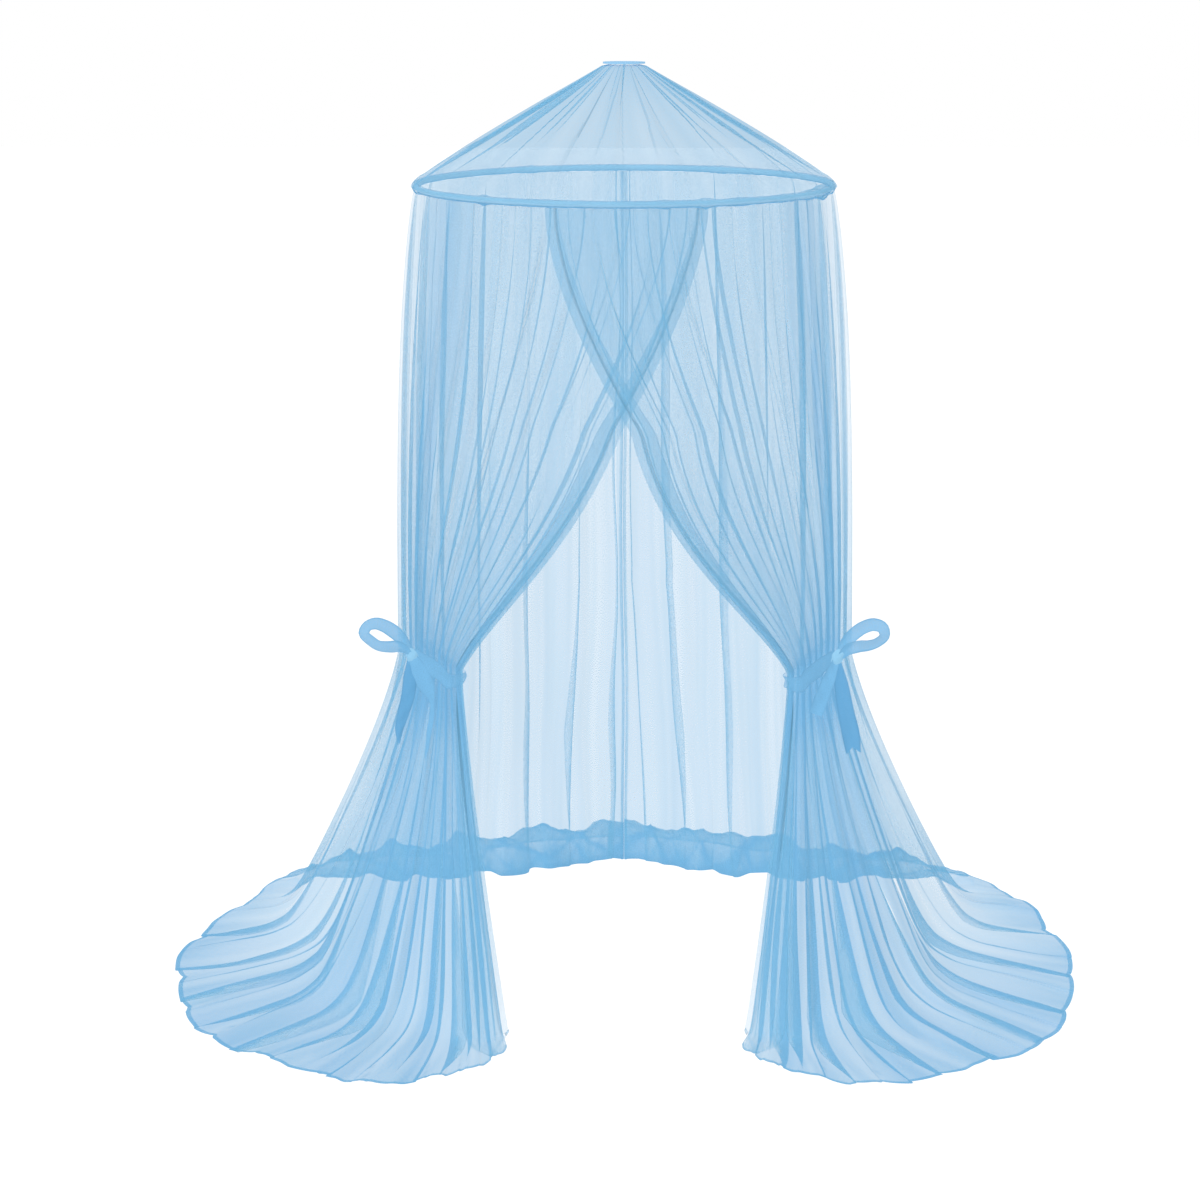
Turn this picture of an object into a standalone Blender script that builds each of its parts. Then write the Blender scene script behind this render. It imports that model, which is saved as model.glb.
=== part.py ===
"""Round mosquito net canopy that hangs by its crown.

A cone of net runs down to a stiff hoop, and two halves of net hang from the hoop. They meet
in a seam at the middle of the back and cross at the front, where each is tied back with a
ribbon, fans out and trails on the floor. At the back the spare length is bunched up.

Metres, +Z up. The front is towards -Y and the right towards +X. The origin is the middle of
the crown's flat top, where the canopy is hung.
"""

import math
from collections import namedtuple

import bmesh
import bpy
from mathutils import Vector

# Driving sizes.
HOOP_RADIUS = 0.500  # to the middle of the hoop's tube
HOOP_TUBE = 0.006
HOOP_SIDES = 8
RING_STEPS = 48  # round the hoop and its casing
HOOP_DROP = 0.285  # from the crown's top down to the hoop
HOOP_HEIGHT = 2.032  # from the floor up to the hoop
FLOOR = -(HOOP_DROP + HOOP_HEIGHT)
CLOTH = 0.002  # thickness of each sheet of net
GAP = 0.0005  # between pieces that are sewn or fitted to each other

CROWN_RADIUS = 0.050
CROWN_THICKNESS = 0.004
CASING_INSIDE = 0.008
CASING_OUTSIDE = 0.011
CASING_SLIT = math.radians(30)  # angle that the slit at the bottom takes out of the sleeve

ROOF_TOP_RADIUS = 0.046
ROOF_FOLDS = 17
ROOF_LEVELS = (0.0, 0.12, 0.45, 0.8, 1.0)
ROOF_FOLD = 0.010  # depth of a usual fold half way down
ROOF_EDGE_FOLD = 0.0008  # and at the crown and the hoop

NET_COLOUR = (0.30, 0.58, 0.83, 1.0)
RIBBON_COLOUR = (0.16, 0.40, 0.66, 1.0)
HOOP_COLOUR = (0.32, 0.58, 0.80, 1.0)
CASING_COLOUR = (0.24, 0.52, 0.77, 1.0)
CROWN_COLOUR = (0.28, 0.56, 0.81, 1.0)

# Where the lines of one half of the net run, from its free front edge (share 0) to the seam at
# the back (share 1). hoop_angle is counted from the front, in degrees, towards the half's own
# side. tie, floor and hem are places on the ground plan: out from the middle, then towards the
# back. They are taken where the ribbon holds the net, where it reaches the floor and at its hem.
# pile is how high the spare length is bunched between floor and hem.
Line = namedtuple("Line", "share hoop_angle tie_x tie_y tie_height floor_x floor_y hem_x hem_y pile")

LEFT_LINES = [
    Line(0.00, -24, 0.400, -0.220, 0.848, 0.285, -0.430, 0.272, -0.492, 0.00),
    Line(0.08, -9, 0.423, -0.197, 0.856, 0.370, -0.462, 0.350, -0.610, 0.00),
    Line(0.16, 6, 0.445, -0.175, 0.863, 0.470, -0.445, 0.490, -0.676, 0.00),
    Line(0.24, 21, 0.468, -0.152, 0.871, 0.585, -0.375, 0.680, -0.672, 0.00),
    Line(0.32, 36, 0.491, -0.129, 0.878, 0.700, -0.270, 0.880, -0.565, 0.00),
    Line(0.40, 51, 0.513, -0.107, 0.886, 0.800, -0.140, 1.060, -0.425, 0.00),
    Line(0.48, 65, 0.536, -0.084, 0.894, 0.870, 0.030, 1.160, -0.190, 0.00),
    Line(0.54, 77, 0.553, -0.067, 0.899, 0.910, 0.200, 1.172, 0.050, 0.00),
    Line(0.60, 89, 0.566, -0.042, 0.905, 0.925, 0.360, 1.090, 0.285, 0.01),
    Line(0.66, 101, 0.558, 0.108, 0.905, 0.850, 0.450, 0.985, 0.475, 0.03),
    Line(0.73, 115, 0.515, 0.240, 0.905, 0.680, 0.420, 0.820, 0.610, 0.06),
    Line(0.81, 132, 0.422, 0.380, 0.905, 0.480, 0.400, 0.590, 0.640, 0.08),
    Line(0.88, 148, 0.301, 0.482, 0.905, 0.300, 0.500, 0.380, 0.710, 0.09),
    Line(0.94, 164, 0.157, 0.546, 0.905, 0.150, 0.580, 0.180, 0.765, 0.09),
    Line(1.00, 180, 0.000, 0.568, 0.905, 0.000, 0.630, 0.000, 0.790, 0.10),
]
RIGHT_LINES = [
    Line(0.00, -22, 0.404, -0.225, 0.841, 0.300, -0.420, 0.276, -0.482, 0.00),
    Line(0.08, -7, 0.427, -0.202, 0.850, 0.375, -0.455, 0.345, -0.590, 0.00),
    Line(0.16, 7, 0.449, -0.179, 0.858, 0.480, -0.450, 0.480, -0.672, 0.00),
    Line(0.24, 22, 0.472, -0.156, 0.867, 0.600, -0.370, 0.690, -0.680, 0.00),
    Line(0.32, 37, 0.494, -0.133, 0.875, 0.715, -0.260, 0.900, -0.577, 0.00),
    Line(0.40, 51, 0.517, -0.110, 0.884, 0.810, -0.130, 1.070, -0.440, 0.00),
    Line(0.48, 65, 0.540, -0.087, 0.892, 0.880, 0.040, 1.175, -0.170, 0.00),
    Line(0.54, 77, 0.556, -0.069, 0.899, 0.925, 0.210, 1.178, 0.080, 0.00),
    Line(0.60, 89, 0.569, -0.042, 0.905, 0.935, 0.375, 1.130, 0.330, 0.01),
    Line(0.66, 101, 0.558, 0.108, 0.905, 0.845, 0.445, 1.000, 0.490, 0.03),
    Line(0.73, 115, 0.515, 0.240, 0.905, 0.670, 0.410, 0.810, 0.600, 0.06),
    Line(0.81, 132, 0.422, 0.380, 0.905, 0.470, 0.395, 0.580, 0.630, 0.08),
    Line(0.88, 148, 0.301, 0.482, 0.905, 0.310, 0.485, 0.375, 0.690, 0.10),
    Line(0.94, 164, 0.157, 0.546, 0.905, 0.155, 0.570, 0.185, 0.760, 0.08),
    Line(1.00, 180, 0.000, 0.568, 0.905, 0.000, 0.630, 0.000, 0.790, 0.10),
]

# The folds of one half, from the front edge to the back seam: the share of its width that each
# takes, and its depth against the usual depth at that level.
Fold = namedtuple("Fold", "width depth")

LEFT_FOLDS = [
    Fold(0.050, 0.7), Fold(0.060, 1.0), Fold(0.046, 1.1), Fold(0.062, 0.8), Fold(0.050, 1.2),
    Fold(0.066, 1.0), Fold(0.048, 0.8), Fold(0.060, 1.1), Fold(0.052, 0.9), Fold(0.058, 1.1),
    Fold(0.050, 0.9), Fold(0.072, 1.2), Fold(0.056, 0.8), Fold(0.074, 1.0), Fold(0.058, 1.2),
    Fold(0.078, 0.8), Fold(0.060, 0.6),
]
RIGHT_FOLDS = [
    Fold(0.052, 0.7), Fold(0.048, 1.1), Fold(0.064, 0.9), Fold(0.050, 1.1), Fold(0.060, 0.8),
    Fold(0.050, 1.0), Fold(0.064, 1.0), Fold(0.050, 0.9), Fold(0.056, 1.0), Fold(0.062, 0.8),
    Fold(0.048, 1.1), Fold(0.066, 1.0), Fold(0.074, 0.8), Fold(0.054, 1.2), Fold(0.076, 1.0),
    Fold(0.060, 0.8), Fold(0.066, 0.6),
]
# A fold's valley and ridge are flat, with a slope between them: (share of the fold, side).
FOLD_CORNERS = ((0.0, -1), (0.3, -1), (0.5, 1), (0.8, 1))

# Levels down the net. part is "upper" from hoop to tie, "lower" from tie to floor and "floor"
# from there to the hem; down is the share of that part. gathered and hanging are half the depth
# of a usual fold in the net that the ribbon holds and in the rest.
Level = namedtuple("Level", "part down gathered hanging")

LEVELS = [
    Level("upper", 0.00, 0.0024, 0.0030),
    Level("upper", 0.10, 0.0055, 0.0080),
    Level("upper", 0.28, 0.0080, 0.0110),
    Level("upper", 0.50, 0.0110, 0.0120),
    Level("upper", 0.72, 0.0140, 0.0130),
    Level("upper", 0.88, 0.0165, 0.0130),
    Level("upper", 1.00, 0.0175, 0.0130),
    Level("lower", 0.00, 0.0175, 0.0130),
    Level("lower", 0.16, 0.0190, 0.0140),
    Level("lower", 0.38, 0.0200, 0.0150),
    Level("lower", 0.62, 0.0190, 0.0150),
    Level("lower", 0.84, 0.0160, 0.0140),
    Level("lower", 0.97, 0.0110, 0.0110),
    Level("floor", 0.16, 0.0085, 0.0120),
    Level("floor", 0.55, 0.0075, 0.0120),
    Level("floor", 1.00, 0.0060, 0.0060),
]
SWEEP = 1.5  # the gathered net hangs almost straight at first, then sweeps over to the tie
BELLY = 0.6  # the hanging net spreads soon below the hoop
FLARE = 1.2  # below the tie it spreads more the lower it gets
BULGE = 0.016  # how far the gathered net stands out half way down to the tie
GATHERED = 0.60  # share of the width that the ribbon holds
GRIP = 0.025  # above and below the tie's height the folds run straight under the ribbon
LEFT_STEP = -0.007  # where the halves cross, the left one lies this far inside its usual place
RIGHT_STEP = 0.016  # and the right one this far outside
OVERLAP_SHARE = 0.30  # share of the width over which the step fades out
SEAM_GAP = 0.0008  # each half stops this far from the middle of the back

# The ribbons.
RIBBON_WIDTH = 0.040
RIBBON_THICKNESS = 0.002
BAND_CLEARANCE = 0.031  # from the middle of the bundle to the band
BAND_BEND_STEPS = 8
KNOT_SHARE = 0.62  # where the knot sits along the bundle
KNOT_STANDS_OUT = 0.010


def smooth_step(value):
    """0 below 0, 1 above 1, and a smooth rise between."""
    value = min(max(value, 0.0), 1.0)
    return value * value * (3 - 2 * value)


def along_lines(lines, column, share):
    """The column's value at this share of the width, on a smooth curve through the lines."""
    last = len(lines) - 2
    index = 0
    while index < last and share > lines[index + 1].share:
        index += 1
    here, there = lines[index], lines[index + 1]
    before = lines[max(index - 1, 0)]
    after = lines[min(index + 2, len(lines) - 1)]
    span = there.share - here.share
    rise_here = (getattr(there, column) - getattr(before, column)) / (there.share - before.share)
    rise_there = (getattr(after, column) - getattr(here, column)) / (after.share - here.share)
    t = (share - here.share) / span
    return (
        getattr(here, column) * (1 + 2 * t) * (1 - t) ** 2
        + getattr(there, column) * t * t * (3 - 2 * t)
        + rise_here * span * t * (1 - t) ** 2
        - rise_there * span * t * t * (1 - t)
    )


def polar(x, y):
    """Angle from the front and radius of a place on the ground plan."""
    return math.atan2(x, -y), math.hypot(x, y)


def upper_place(lines, share, down, step):
    """Place of the net between hoop and tie, as (out, back, height)."""
    hoop_angle = math.radians(along_lines(lines, "hoop_angle", share))
    tie_x = along_lines(lines, "tie_x", share)
    tie_y = along_lines(lines, "tie_y", share)
    tie_angle, tie_radius = polar(tie_x, tie_y)
    held = 1 - smooth_step((share - GATHERED) / 0.1)
    spread = held * down + (1 - held) * down**BELLY
    angle = hoop_angle + (tie_angle - hoop_angle) * down**SWEEP
    radius = HOOP_RADIUS + (tie_radius - HOOP_RADIUS) * spread
    radius += held * BULGE * math.sin(math.pi * down**0.7)
    apart = min(1.0, 0.45 + 4 * down) * (1 - down**4)
    radius += step * (1 - smooth_step(share / OVERLAP_SHARE - 0.5)) * apart
    top = HOOP_HEIGHT - CASING_OUTSIDE - 2 * GAP
    height = top + (along_lines(lines, "tie_height", share) + GRIP - top) * down
    return radius * math.sin(angle), -radius * math.cos(angle), height


def lower_place(lines, share, down):
    """Place of the net between the tie's height and the floor."""
    flare = down**FLARE
    x = along_lines(lines, "tie_x", share) * (1 - flare) + along_lines(lines, "floor_x", share) * flare
    y = along_lines(lines, "tie_y", share) * (1 - flare) + along_lines(lines, "floor_y", share) * flare
    return x, y, (along_lines(lines, "tie_height", share) - GRIP) * (1 - down)


def floor_place(lines, share, down):
    """Place of the net on the floor, or of the bunched length at the back."""
    x = along_lines(lines, "floor_x", share) * (1 - down) + along_lines(lines, "hem_x", share) * down
    y = along_lines(lines, "floor_y", share) * (1 - down) + along_lines(lines, "hem_y", share) * down
    bunched = max(along_lines(lines, "pile", share), 0.0) * math.sin(math.pi * min(down, 1.0)) ** 0.8
    return x, y, bunched


def net_place(lines, share, level, step):
    """A point of one half of the net without its folds."""
    if level.part == "upper":
        return upper_place(lines, share, level.down, step)
    if level.part == "lower":
        return lower_place(lines, share, level.down)
    return floor_place(lines, share, level.down)


def fold_columns(folds):
    """(share, side of the fold, depth) of each line of points across one half."""
    columns = []
    start = 0.0
    total = sum(fold.width for fold in folds)
    for fold in folds:
        width = fold.width / total
        for corner, side in FOLD_CORNERS:
            columns.append((start + corner * width, side, fold.depth))
        start += width
    columns.append((1.0, -1, folds[-1].depth))
    return columns


def grid_normal(points, row, column):
    """Outward normal of a grid of points at one of them."""
    rows, columns = len(points), len(points[0])
    down = points[min(row + 1, rows - 1)][column] - points[max(row - 1, 0)][column]
    across = points[row][min(column + 1, columns - 1)] - points[row][max(column - 1, 0)]
    return across.cross(down).normalized()


def folded_grid(lines, folds, side, step):
    """Middle surface of one half with its folds. side is -1 for the left half."""
    columns = fold_columns(folds)
    plain = []
    for level in LEVELS:
        row = []
        for share, _, _ in columns:
            x, y, height = net_place(lines, share, level, step)
            row.append(Vector((x, y, height)))
        plain.append(row)
    grid = []
    for index, level in enumerate(LEVELS):
        row = []
        for place, (share, fold_side, depth) in enumerate(columns):
            held = 1 - smooth_step((share - GATHERED) / 0.1)
            half_depth = depth * (held * level.gathered + (1 - held) * level.hanging)
            normal = grid_normal(plain, index, place)
            point = plain[index][place] - normal * fold_side * half_depth
            if level.part == "floor":
                point.z += half_depth * abs(normal.z)
            point.z = max(point.z, CLOTH * 0.5)
            point.x = max(point.x, SEAM_GAP) if share > 0.9 else point.x
            row.append(Vector((side * point.x, point.y, point.z + FLOOR)))
        grid.append(row)
    return grid


def sheet_object(name, grid, material, closed=False, floor=None):
    """A closed sheet of even thickness round a grid of points of its middle surface."""
    rows, columns = len(grid), len(grid[0])
    mesh = bmesh.new()
    layers = []
    for sign in (1, -1):
        layer = []
        for row in range(rows):
            line = []
            for column in range(columns):
                offset = mitred_offset(grid, row, column, closed) * (sign * CLOTH / 2)
                point = grid[row][column] + offset
                if floor is not None:
                    point.z = max(point.z, floor)
                line.append(mesh.verts.new(point))
            layer.append(line)
        layers.append(layer)
    outer, inner = layers
    spans = columns if closed else columns - 1
    for row in range(rows - 1):
        for column in range(spans):
            after = (column + 1) % columns
            for layer, turned in ((outer, False), (inner, True)):
                corners = (
                    layer[row][column],
                    layer[row][after],
                    layer[row + 1][after],
                    layer[row + 1][column],
                )
                add_triangles(mesh, corners, turned)
    for column in range(spans):
        after = (column + 1) % columns
        add_triangles(mesh, (inner[0][column], inner[0][after], outer[0][after], outer[0][column]), False)
        last = rows - 1
        add_triangles(
            mesh,
            (outer[last][column], outer[last][after], inner[last][after], inner[last][column]),
            False,
        )
    if not closed:
        for row in range(rows - 1):
            add_triangles(mesh, (inner[row][0], outer[row][0], outer[row + 1][0], inner[row + 1][0]), False)
            end = columns - 1
            add_triangles(
                mesh,
                (outer[row][end], inner[row][end], inner[row + 1][end], outer[row + 1][end]),
                False,
            )
    bmesh.ops.recalc_face_normals(mesh, faces=mesh.faces)
    return finished_object(name, mesh, material)


def add_triangles(mesh, corners, turned):
    """Two triangles for four corners, always split from the first corner to the third."""
    first, second, third, fourth = corners
    for triangle in ((first, second, third), (first, third, fourth)):
        mesh.faces.new(triangle[::-1] if turned else triangle)


def mitred_offset(grid, row, column, closed):
    """Direction that keeps a sheet's thickness even at a fold, longer where it bends sharply."""
    columns = len(grid[0])
    rows = len(grid)
    down = grid[min(row + 1, rows - 1)][column] - grid[max(row - 1, 0)][column]
    sides = []
    for here, there in ((column - 1, column), (column, column + 1)):
        if closed:
            here, there = here % columns, there % columns
        if here < 0 or there >= columns:
            continue
        sides.append((grid[row][there] - grid[row][here]).cross(down).normalized())
    middle = sum(sides, Vector()).normalized()
    return middle / max(middle.dot(sides[0]), 0.6)


def finished_object(name, mesh, material):
    """Puts a mesh in the scene as a named object."""
    data = bpy.data.meshes.new(name)
    mesh.to_mesh(data)
    mesh.free()
    data.materials.append(material)
    thing = bpy.data.objects.new(name, data)
    bpy.context.scene.collection.objects.link(thing)
    return thing


def shade_round(thing):
    """Smooth shading for a turned or bent piece."""
    thing.data.shade_smooth()
    thing.data.set_sharp_from_angle(angle=math.radians(40))


def principled(name, colour, roughness, metallic=0.0):
    """A plain surface of this colour."""
    material = bpy.data.materials.new(name)
    material.use_nodes = True
    shader = material.node_tree.nodes["Principled BSDF"]
    shader.inputs["Base Color"].default_value = colour
    shader.inputs["Roughness"].default_value = roughness
    shader.inputs["Metallic"].default_value = metallic
    return material


def net_material():
    return principled("net", NET_COLOUR, 0.85)


def ribbon_material():
    return principled("ribbon", RIBBON_COLOUR, 0.75)


def hoop_material():
    return principled("hoop", HOOP_COLOUR, 0.45)


def casing_material():
    return principled("casing", CASING_COLOUR, 0.85)


def crown_material():
    return principled("crown", CROWN_COLOUR, 0.85)


def turned_ring(name, profile, material):
    """A closed ring of this profile of (radius, height) points, turned about the upright axis."""
    mesh = bmesh.new()
    rings = []
    for step in range(RING_STEPS):
        angle = 2 * math.pi * step / RING_STEPS
        rings.append(
            [mesh.verts.new((r * math.sin(angle), -r * math.cos(angle), z)) for r, z in profile]
        )
    for step in range(RING_STEPS):
        here, there = rings[step], rings[(step + 1) % RING_STEPS]
        for corner in range(len(profile)):
            after = (corner + 1) % len(profile)
            mesh.faces.new((here[corner], there[corner], there[after], here[after]))
    bmesh.ops.recalc_face_normals(mesh, faces=mesh.faces)
    return finished_object(name, mesh, material)


def make_crown(material):
    """Flat round patch that the roof is gathered into."""
    mesh = bmesh.new()
    bmesh.ops.create_cone(
        mesh,
        cap_ends=True,
        segments=48,
        radius1=CROWN_RADIUS,
        radius2=CROWN_RADIUS,
        depth=CROWN_THICKNESS,
    )
    bmesh.ops.translate(mesh, verts=mesh.verts, vec=(0, 0, -CROWN_THICKNESS / 2))
    return finished_object("crown", mesh, material)


def make_roof(material):
    """Cone of net, gathered into the crown, with soft folds down to the hoop."""
    top = -CROWN_THICKNESS - GAP - CLOTH
    bottom = -HOOP_DROP + CASING_OUTSIDE + GAP + CLOTH
    grid = []
    for down in ROOF_LEVELS:
        row = []
        radius = ROOF_TOP_RADIUS + (HOOP_RADIUS - ROOF_TOP_RADIUS) * down
        height = top + (bottom - top) * down
        fold_depth = ROOF_EDGE_FOLD + ROOF_FOLD * math.sin(math.pi * down) ** 0.8
        for fold in range(ROOF_FOLDS):
            uneven = 1 + 0.35 * math.sin(2.4 * fold + 0.6)
            shift = 0.25 * math.sin(1.7 * fold)
            for corner, fold_side in FOLD_CORNERS:
                angle = 2 * math.pi * (fold + corner + shift * corner * (1 - corner)) / ROOF_FOLDS
                z = height - fold_depth * (uneven * (1 - fold_side) / 2 - down)
                row.append(Vector((radius * math.sin(angle), -radius * math.cos(angle), z)))
        grid.append(row)
    return sheet_object("roof", grid, material, closed=True)


def make_hoop(material):
    """Plain round rod bent into a ring."""
    profile = []
    for side in range(HOOP_SIDES):
        angle = 2 * math.pi * side / HOOP_SIDES
        profile.append(
            (HOOP_RADIUS + HOOP_TUBE * math.cos(angle), -HOOP_DROP + HOOP_TUBE * math.sin(angle))
        )
    thing = turned_ring("hoop", profile, material)
    shade_round(thing)
    return thing


def make_casing(material):
    """Sleeve round the hoop, open in a narrow slit along its underside."""
    start = -math.pi / 2 + CASING_SLIT / 2
    turn = 2 * math.pi - CASING_SLIT
    outer = []
    inner = []
    for radius, sides, points in ((CASING_OUTSIDE, 8, outer), (CASING_INSIDE, 6, inner)):
        for side in range(sides + 1):
            angle = start + turn * side / sides
            points.append(
                (HOOP_RADIUS + radius * math.cos(angle), -HOOP_DROP + radius * math.sin(angle))
            )
    thing = turned_ring("hoop_casing", outer + inner[::-1], material)
    shade_round(thing)
    return thing


def strip_mesh(mesh, stations):
    """A closed strip through stations of (middle, half-width vector, half-thickness vector)."""
    rings = []
    for middle, across, through in stations:
        rings.append(
            [
                mesh.verts.new(middle - across - through),
                mesh.verts.new(middle + across - through),
                mesh.verts.new(middle + across + through),
                mesh.verts.new(middle - across + through),
            ]
        )
    for here, there in zip(rings, rings[1:]):
        for corner in range(4):
            after = (corner + 1) % 4
            add_triangles(mesh, (here[corner], here[after], there[after], there[corner]), True)
    mesh.faces.new(rings[0])
    mesh.faces.new(rings[-1][::-1])


def path_strip(name, points, across, widths, material):
    """A ribbon along points, each with its own width direction and width."""
    mesh = bmesh.new()
    stations = []
    for index, point in enumerate(points):
        tangent = path_direction(points, index)
        wide = (across[index] - tangent * across[index].dot(tangent)).normalized()
        through = wide.cross(tangent) * (RIBBON_THICKNESS / 2)
        stations.append((point, wide * (widths[index] / 2), through))
    strip_mesh(mesh, stations)
    bmesh.ops.recalc_face_normals(mesh, faces=mesh.faces)
    return finished_object(name, mesh, material)


def path_direction(points, index):
    """Direction of a row of points at one of them."""
    before = points[max(index - 1, 0)]
    after = points[min(index + 1, len(points) - 1)]
    return (after - before).normalized()


def bundle_ends(lines, side):
    """Where the ribbon holds the net: its free edge, and the far end of what is gathered."""
    ends = []
    for share in (0.0, GATHERED):
        x = along_lines(lines, "tie_x", share) * side
        y = along_lines(lines, "tie_y", share)
        ends.append(Vector((x, y, along_lines(lines, "tie_height", share) + FLOOR)))
    return ends


def make_band(name, lines, side, material):
    """The part of a ribbon that goes round the free edge and back along the inside."""
    edge, far = bundle_ends(lines, side)
    along = far - edge
    level_along = Vector((along.x, along.y, 0)).normalized()
    outward = Vector((level_along.y, -level_along.x, 0)) * side
    up = along.cross(outward).normalized()
    if up.z < 0:
        up.negate()
    turn_centre = edge - level_along * 0.002
    points = []
    for share in (KNOT_SHARE, 0.40, 0.18):
        points.append(edge + along * share + outward * BAND_CLEARANCE)
    for step in range(BAND_BEND_STEPS + 1):
        angle = math.pi * step / BAND_BEND_STEPS
        reach = outward * math.cos(angle) - level_along * math.sin(angle)
        points.append(turn_centre + reach * BAND_CLEARANCE)
    for share in (0.20, 0.55, 0.86):
        points.append(edge + along * share - outward * BAND_CLEARANCE)
    return path_strip(
        name, points, [up] * len(points), [RIBBON_WIDTH] * len(points), material
    ), points[0], outward


def bow_strip(name, knot, rows, side, material):
    """One part of a bow, starting at the knot. It faces the front, turned by each row's angle."""
    points = [knot + Vector((side * row.out, row.back, row.up)) for row in rows]
    across = []
    for index, row in enumerate(rows):
        tangent = path_direction(points, index)
        flat = Vector((-tangent.z, 0, tangent.x)) * side
        angle = math.radians(row.turn)
        across.append(flat * math.cos(angle) + Vector((0, math.sin(angle), 0)))
    return path_strip(name, points, across, [row.width for row in rows], material)


def make_tie(name, lines, side, material, bow):
    """One ribbon: band, knot, bow loop and two free ends, joined into one solid."""
    tie, knot_place, outward = make_band(name, lines, side, material)
    knot = knot_place + outward * KNOT_STANDS_OUT
    pieces = [make_knot(name + "_knot", knot, side, material)]
    for label, rows in bow.items():
        pieces.append(bow_strip(name + "_" + label, knot, rows, side, material))
    for piece in pieces:
        piece.hide_render = True
        piece.display_type = "WIRE"
        union = tie.modifiers.new("join_" + piece.name, "BOOLEAN")
        union.operation = "UNION"
        union.solver = "EXACT"
        union.object = piece
    return tie


def make_knot(name, place, side, material):
    """Rounded lump where the ribbon is tied."""
    mesh = bmesh.new()
    bmesh.ops.create_uvsphere(mesh, u_segments=12, v_segments=8, radius=1.0)
    for vert in mesh.verts:
        vert.co = Vector((vert.co.x * 0.015, vert.co.y * 0.012, vert.co.z * 0.021))
        vert.co.x += side * 0.004 * vert.co.z / 0.021
        vert.co += place
    return finished_object(name, mesh, material)


# The bow of each ribbon, from its knot: how far out, back and up each point of its middle line
# is, the ribbon's width there, and how far its face turns away from the front, in degrees.
Bend = namedtuple("Bend", "out back up width turn")

BOW_LEFT = {
    "loop": [
        Bend(0.006, 0.004, 0.012, 0.010, 20),
        Bend(0.038, 0.006, 0.050, 0.026, 25),
        Bend(0.061, 0.006, 0.071, 0.034, 30),
        Bend(0.080, 0.002, 0.083, 0.034, 30),
        Bend(0.102, -0.004, 0.087, 0.032, 30),
        Bend(0.118, -0.010, 0.074, 0.031, 30),
        Bend(0.120, -0.014, 0.057, 0.030, 30),
        Bend(0.107, -0.016, 0.038, 0.030, 30),
        Bend(0.086, -0.016, 0.027, 0.030, 30),
        Bend(0.061, -0.014, 0.021, 0.030, 25),
        Bend(0.034, -0.010, 0.012, 0.026, 20),
        Bend(0.006, -0.004, -0.006, 0.010, 20),
    ],
    "front_end": [
        Bend(-0.003, -0.005, -0.006, 0.018, 0),
        Bend(-0.025, -0.034, -0.048, 0.034, 0),
        Bend(-0.046, -0.055, -0.092, 0.024, 20),
        Bend(-0.050, -0.066, -0.120, 0.014, 40),
        Bend(-0.046, -0.078, -0.156, 0.015, 50),
        Bend(-0.038, -0.092, -0.200, 0.013, 50),
        Bend(-0.034, -0.102, -0.238, 0.005, 50),
    ],
    "back_end": [
        Bend(0.004, 0.002, -0.012, 0.016, 0),
        Bend(0.004, -0.023, -0.044, 0.034, 0),
        Bend(0.010, -0.047, -0.095, 0.040, 0),
        Bend(0.024, -0.066, -0.148, 0.034, 0),
        Bend(0.036, -0.080, -0.190, 0.024, 0),
        Bend(0.035, -0.092, -0.225, 0.005, 0),
    ],
}
BOW_RIGHT = {
    "loop": [
        Bend(0.006, 0.005, 0.011, 0.010, 20),
        Bend(0.033, 0.009, 0.045, 0.024, 25),
        Bend(0.057, 0.009, 0.070, 0.028, 30),
        Bend(0.079, 0.005, 0.082, 0.032, 30),
        Bend(0.101, -0.002, 0.082, 0.032, 30),
        Bend(0.117, -0.008, 0.065, 0.030, 30),
        Bend(0.113, -0.014, 0.043, 0.030, 30),
        Bend(0.091, -0.018, 0.029, 0.032, 30),
        Bend(0.063, -0.018, 0.027, 0.036, 25),
        Bend(0.035, -0.014, 0.022, 0.036, 20),
        Bend(0.006, -0.005, -0.004, 0.010, 20),
    ],
    "front_end": [
        Bend(-0.003, -0.005, -0.006, 0.018, 0),
        Bend(-0.020, -0.032, -0.040, 0.030, 0),
        Bend(-0.040, -0.058, -0.083, 0.036, 0),
        Bend(-0.058, -0.080, -0.122, 0.036, 0),
    ],
    "back_end": [
        Bend(0.002, 0.002, -0.012, 0.016, 0),
        Bend(0.008, -0.029, -0.058, 0.034, 0),
        Bend(0.020, -0.058, -0.124, 0.040, 0),
        Bend(0.032, -0.076, -0.180, 0.044, 0),
        Bend(0.038, -0.092, -0.222, 0.036, 0),
    ],
}


def main():
    for thing in list(bpy.data.objects):
        bpy.data.objects.remove(thing, do_unlink=True)
    net = net_material()
    ribbon = ribbon_material()
    make_crown(crown_material())
    make_roof(net)
    make_hoop(hoop_material())
    make_casing(casing_material())
    left = folded_grid(LEFT_LINES, LEFT_FOLDS, -1, LEFT_STEP)
    sheet_object("net_left", left, net, floor=FLOOR)
    right = folded_grid(RIGHT_LINES, RIGHT_FOLDS, 1, RIGHT_STEP)
    sheet_object("net_right", right, net, floor=FLOOR)
    make_tie("tie_left", LEFT_LINES, -1, ribbon, BOW_LEFT)
    make_tie("tie_right", RIGHT_LINES, 1, ribbon, BOW_RIGHT)


main()
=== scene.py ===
"""Looks of a round mosquito net canopy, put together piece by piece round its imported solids.

Metres, +Z up. The front is towards -Y and the right towards +X. The origin is the middle of the
crown's flat top, where the canopy is hung.
"""

import math
from collections import namedtuple

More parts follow.
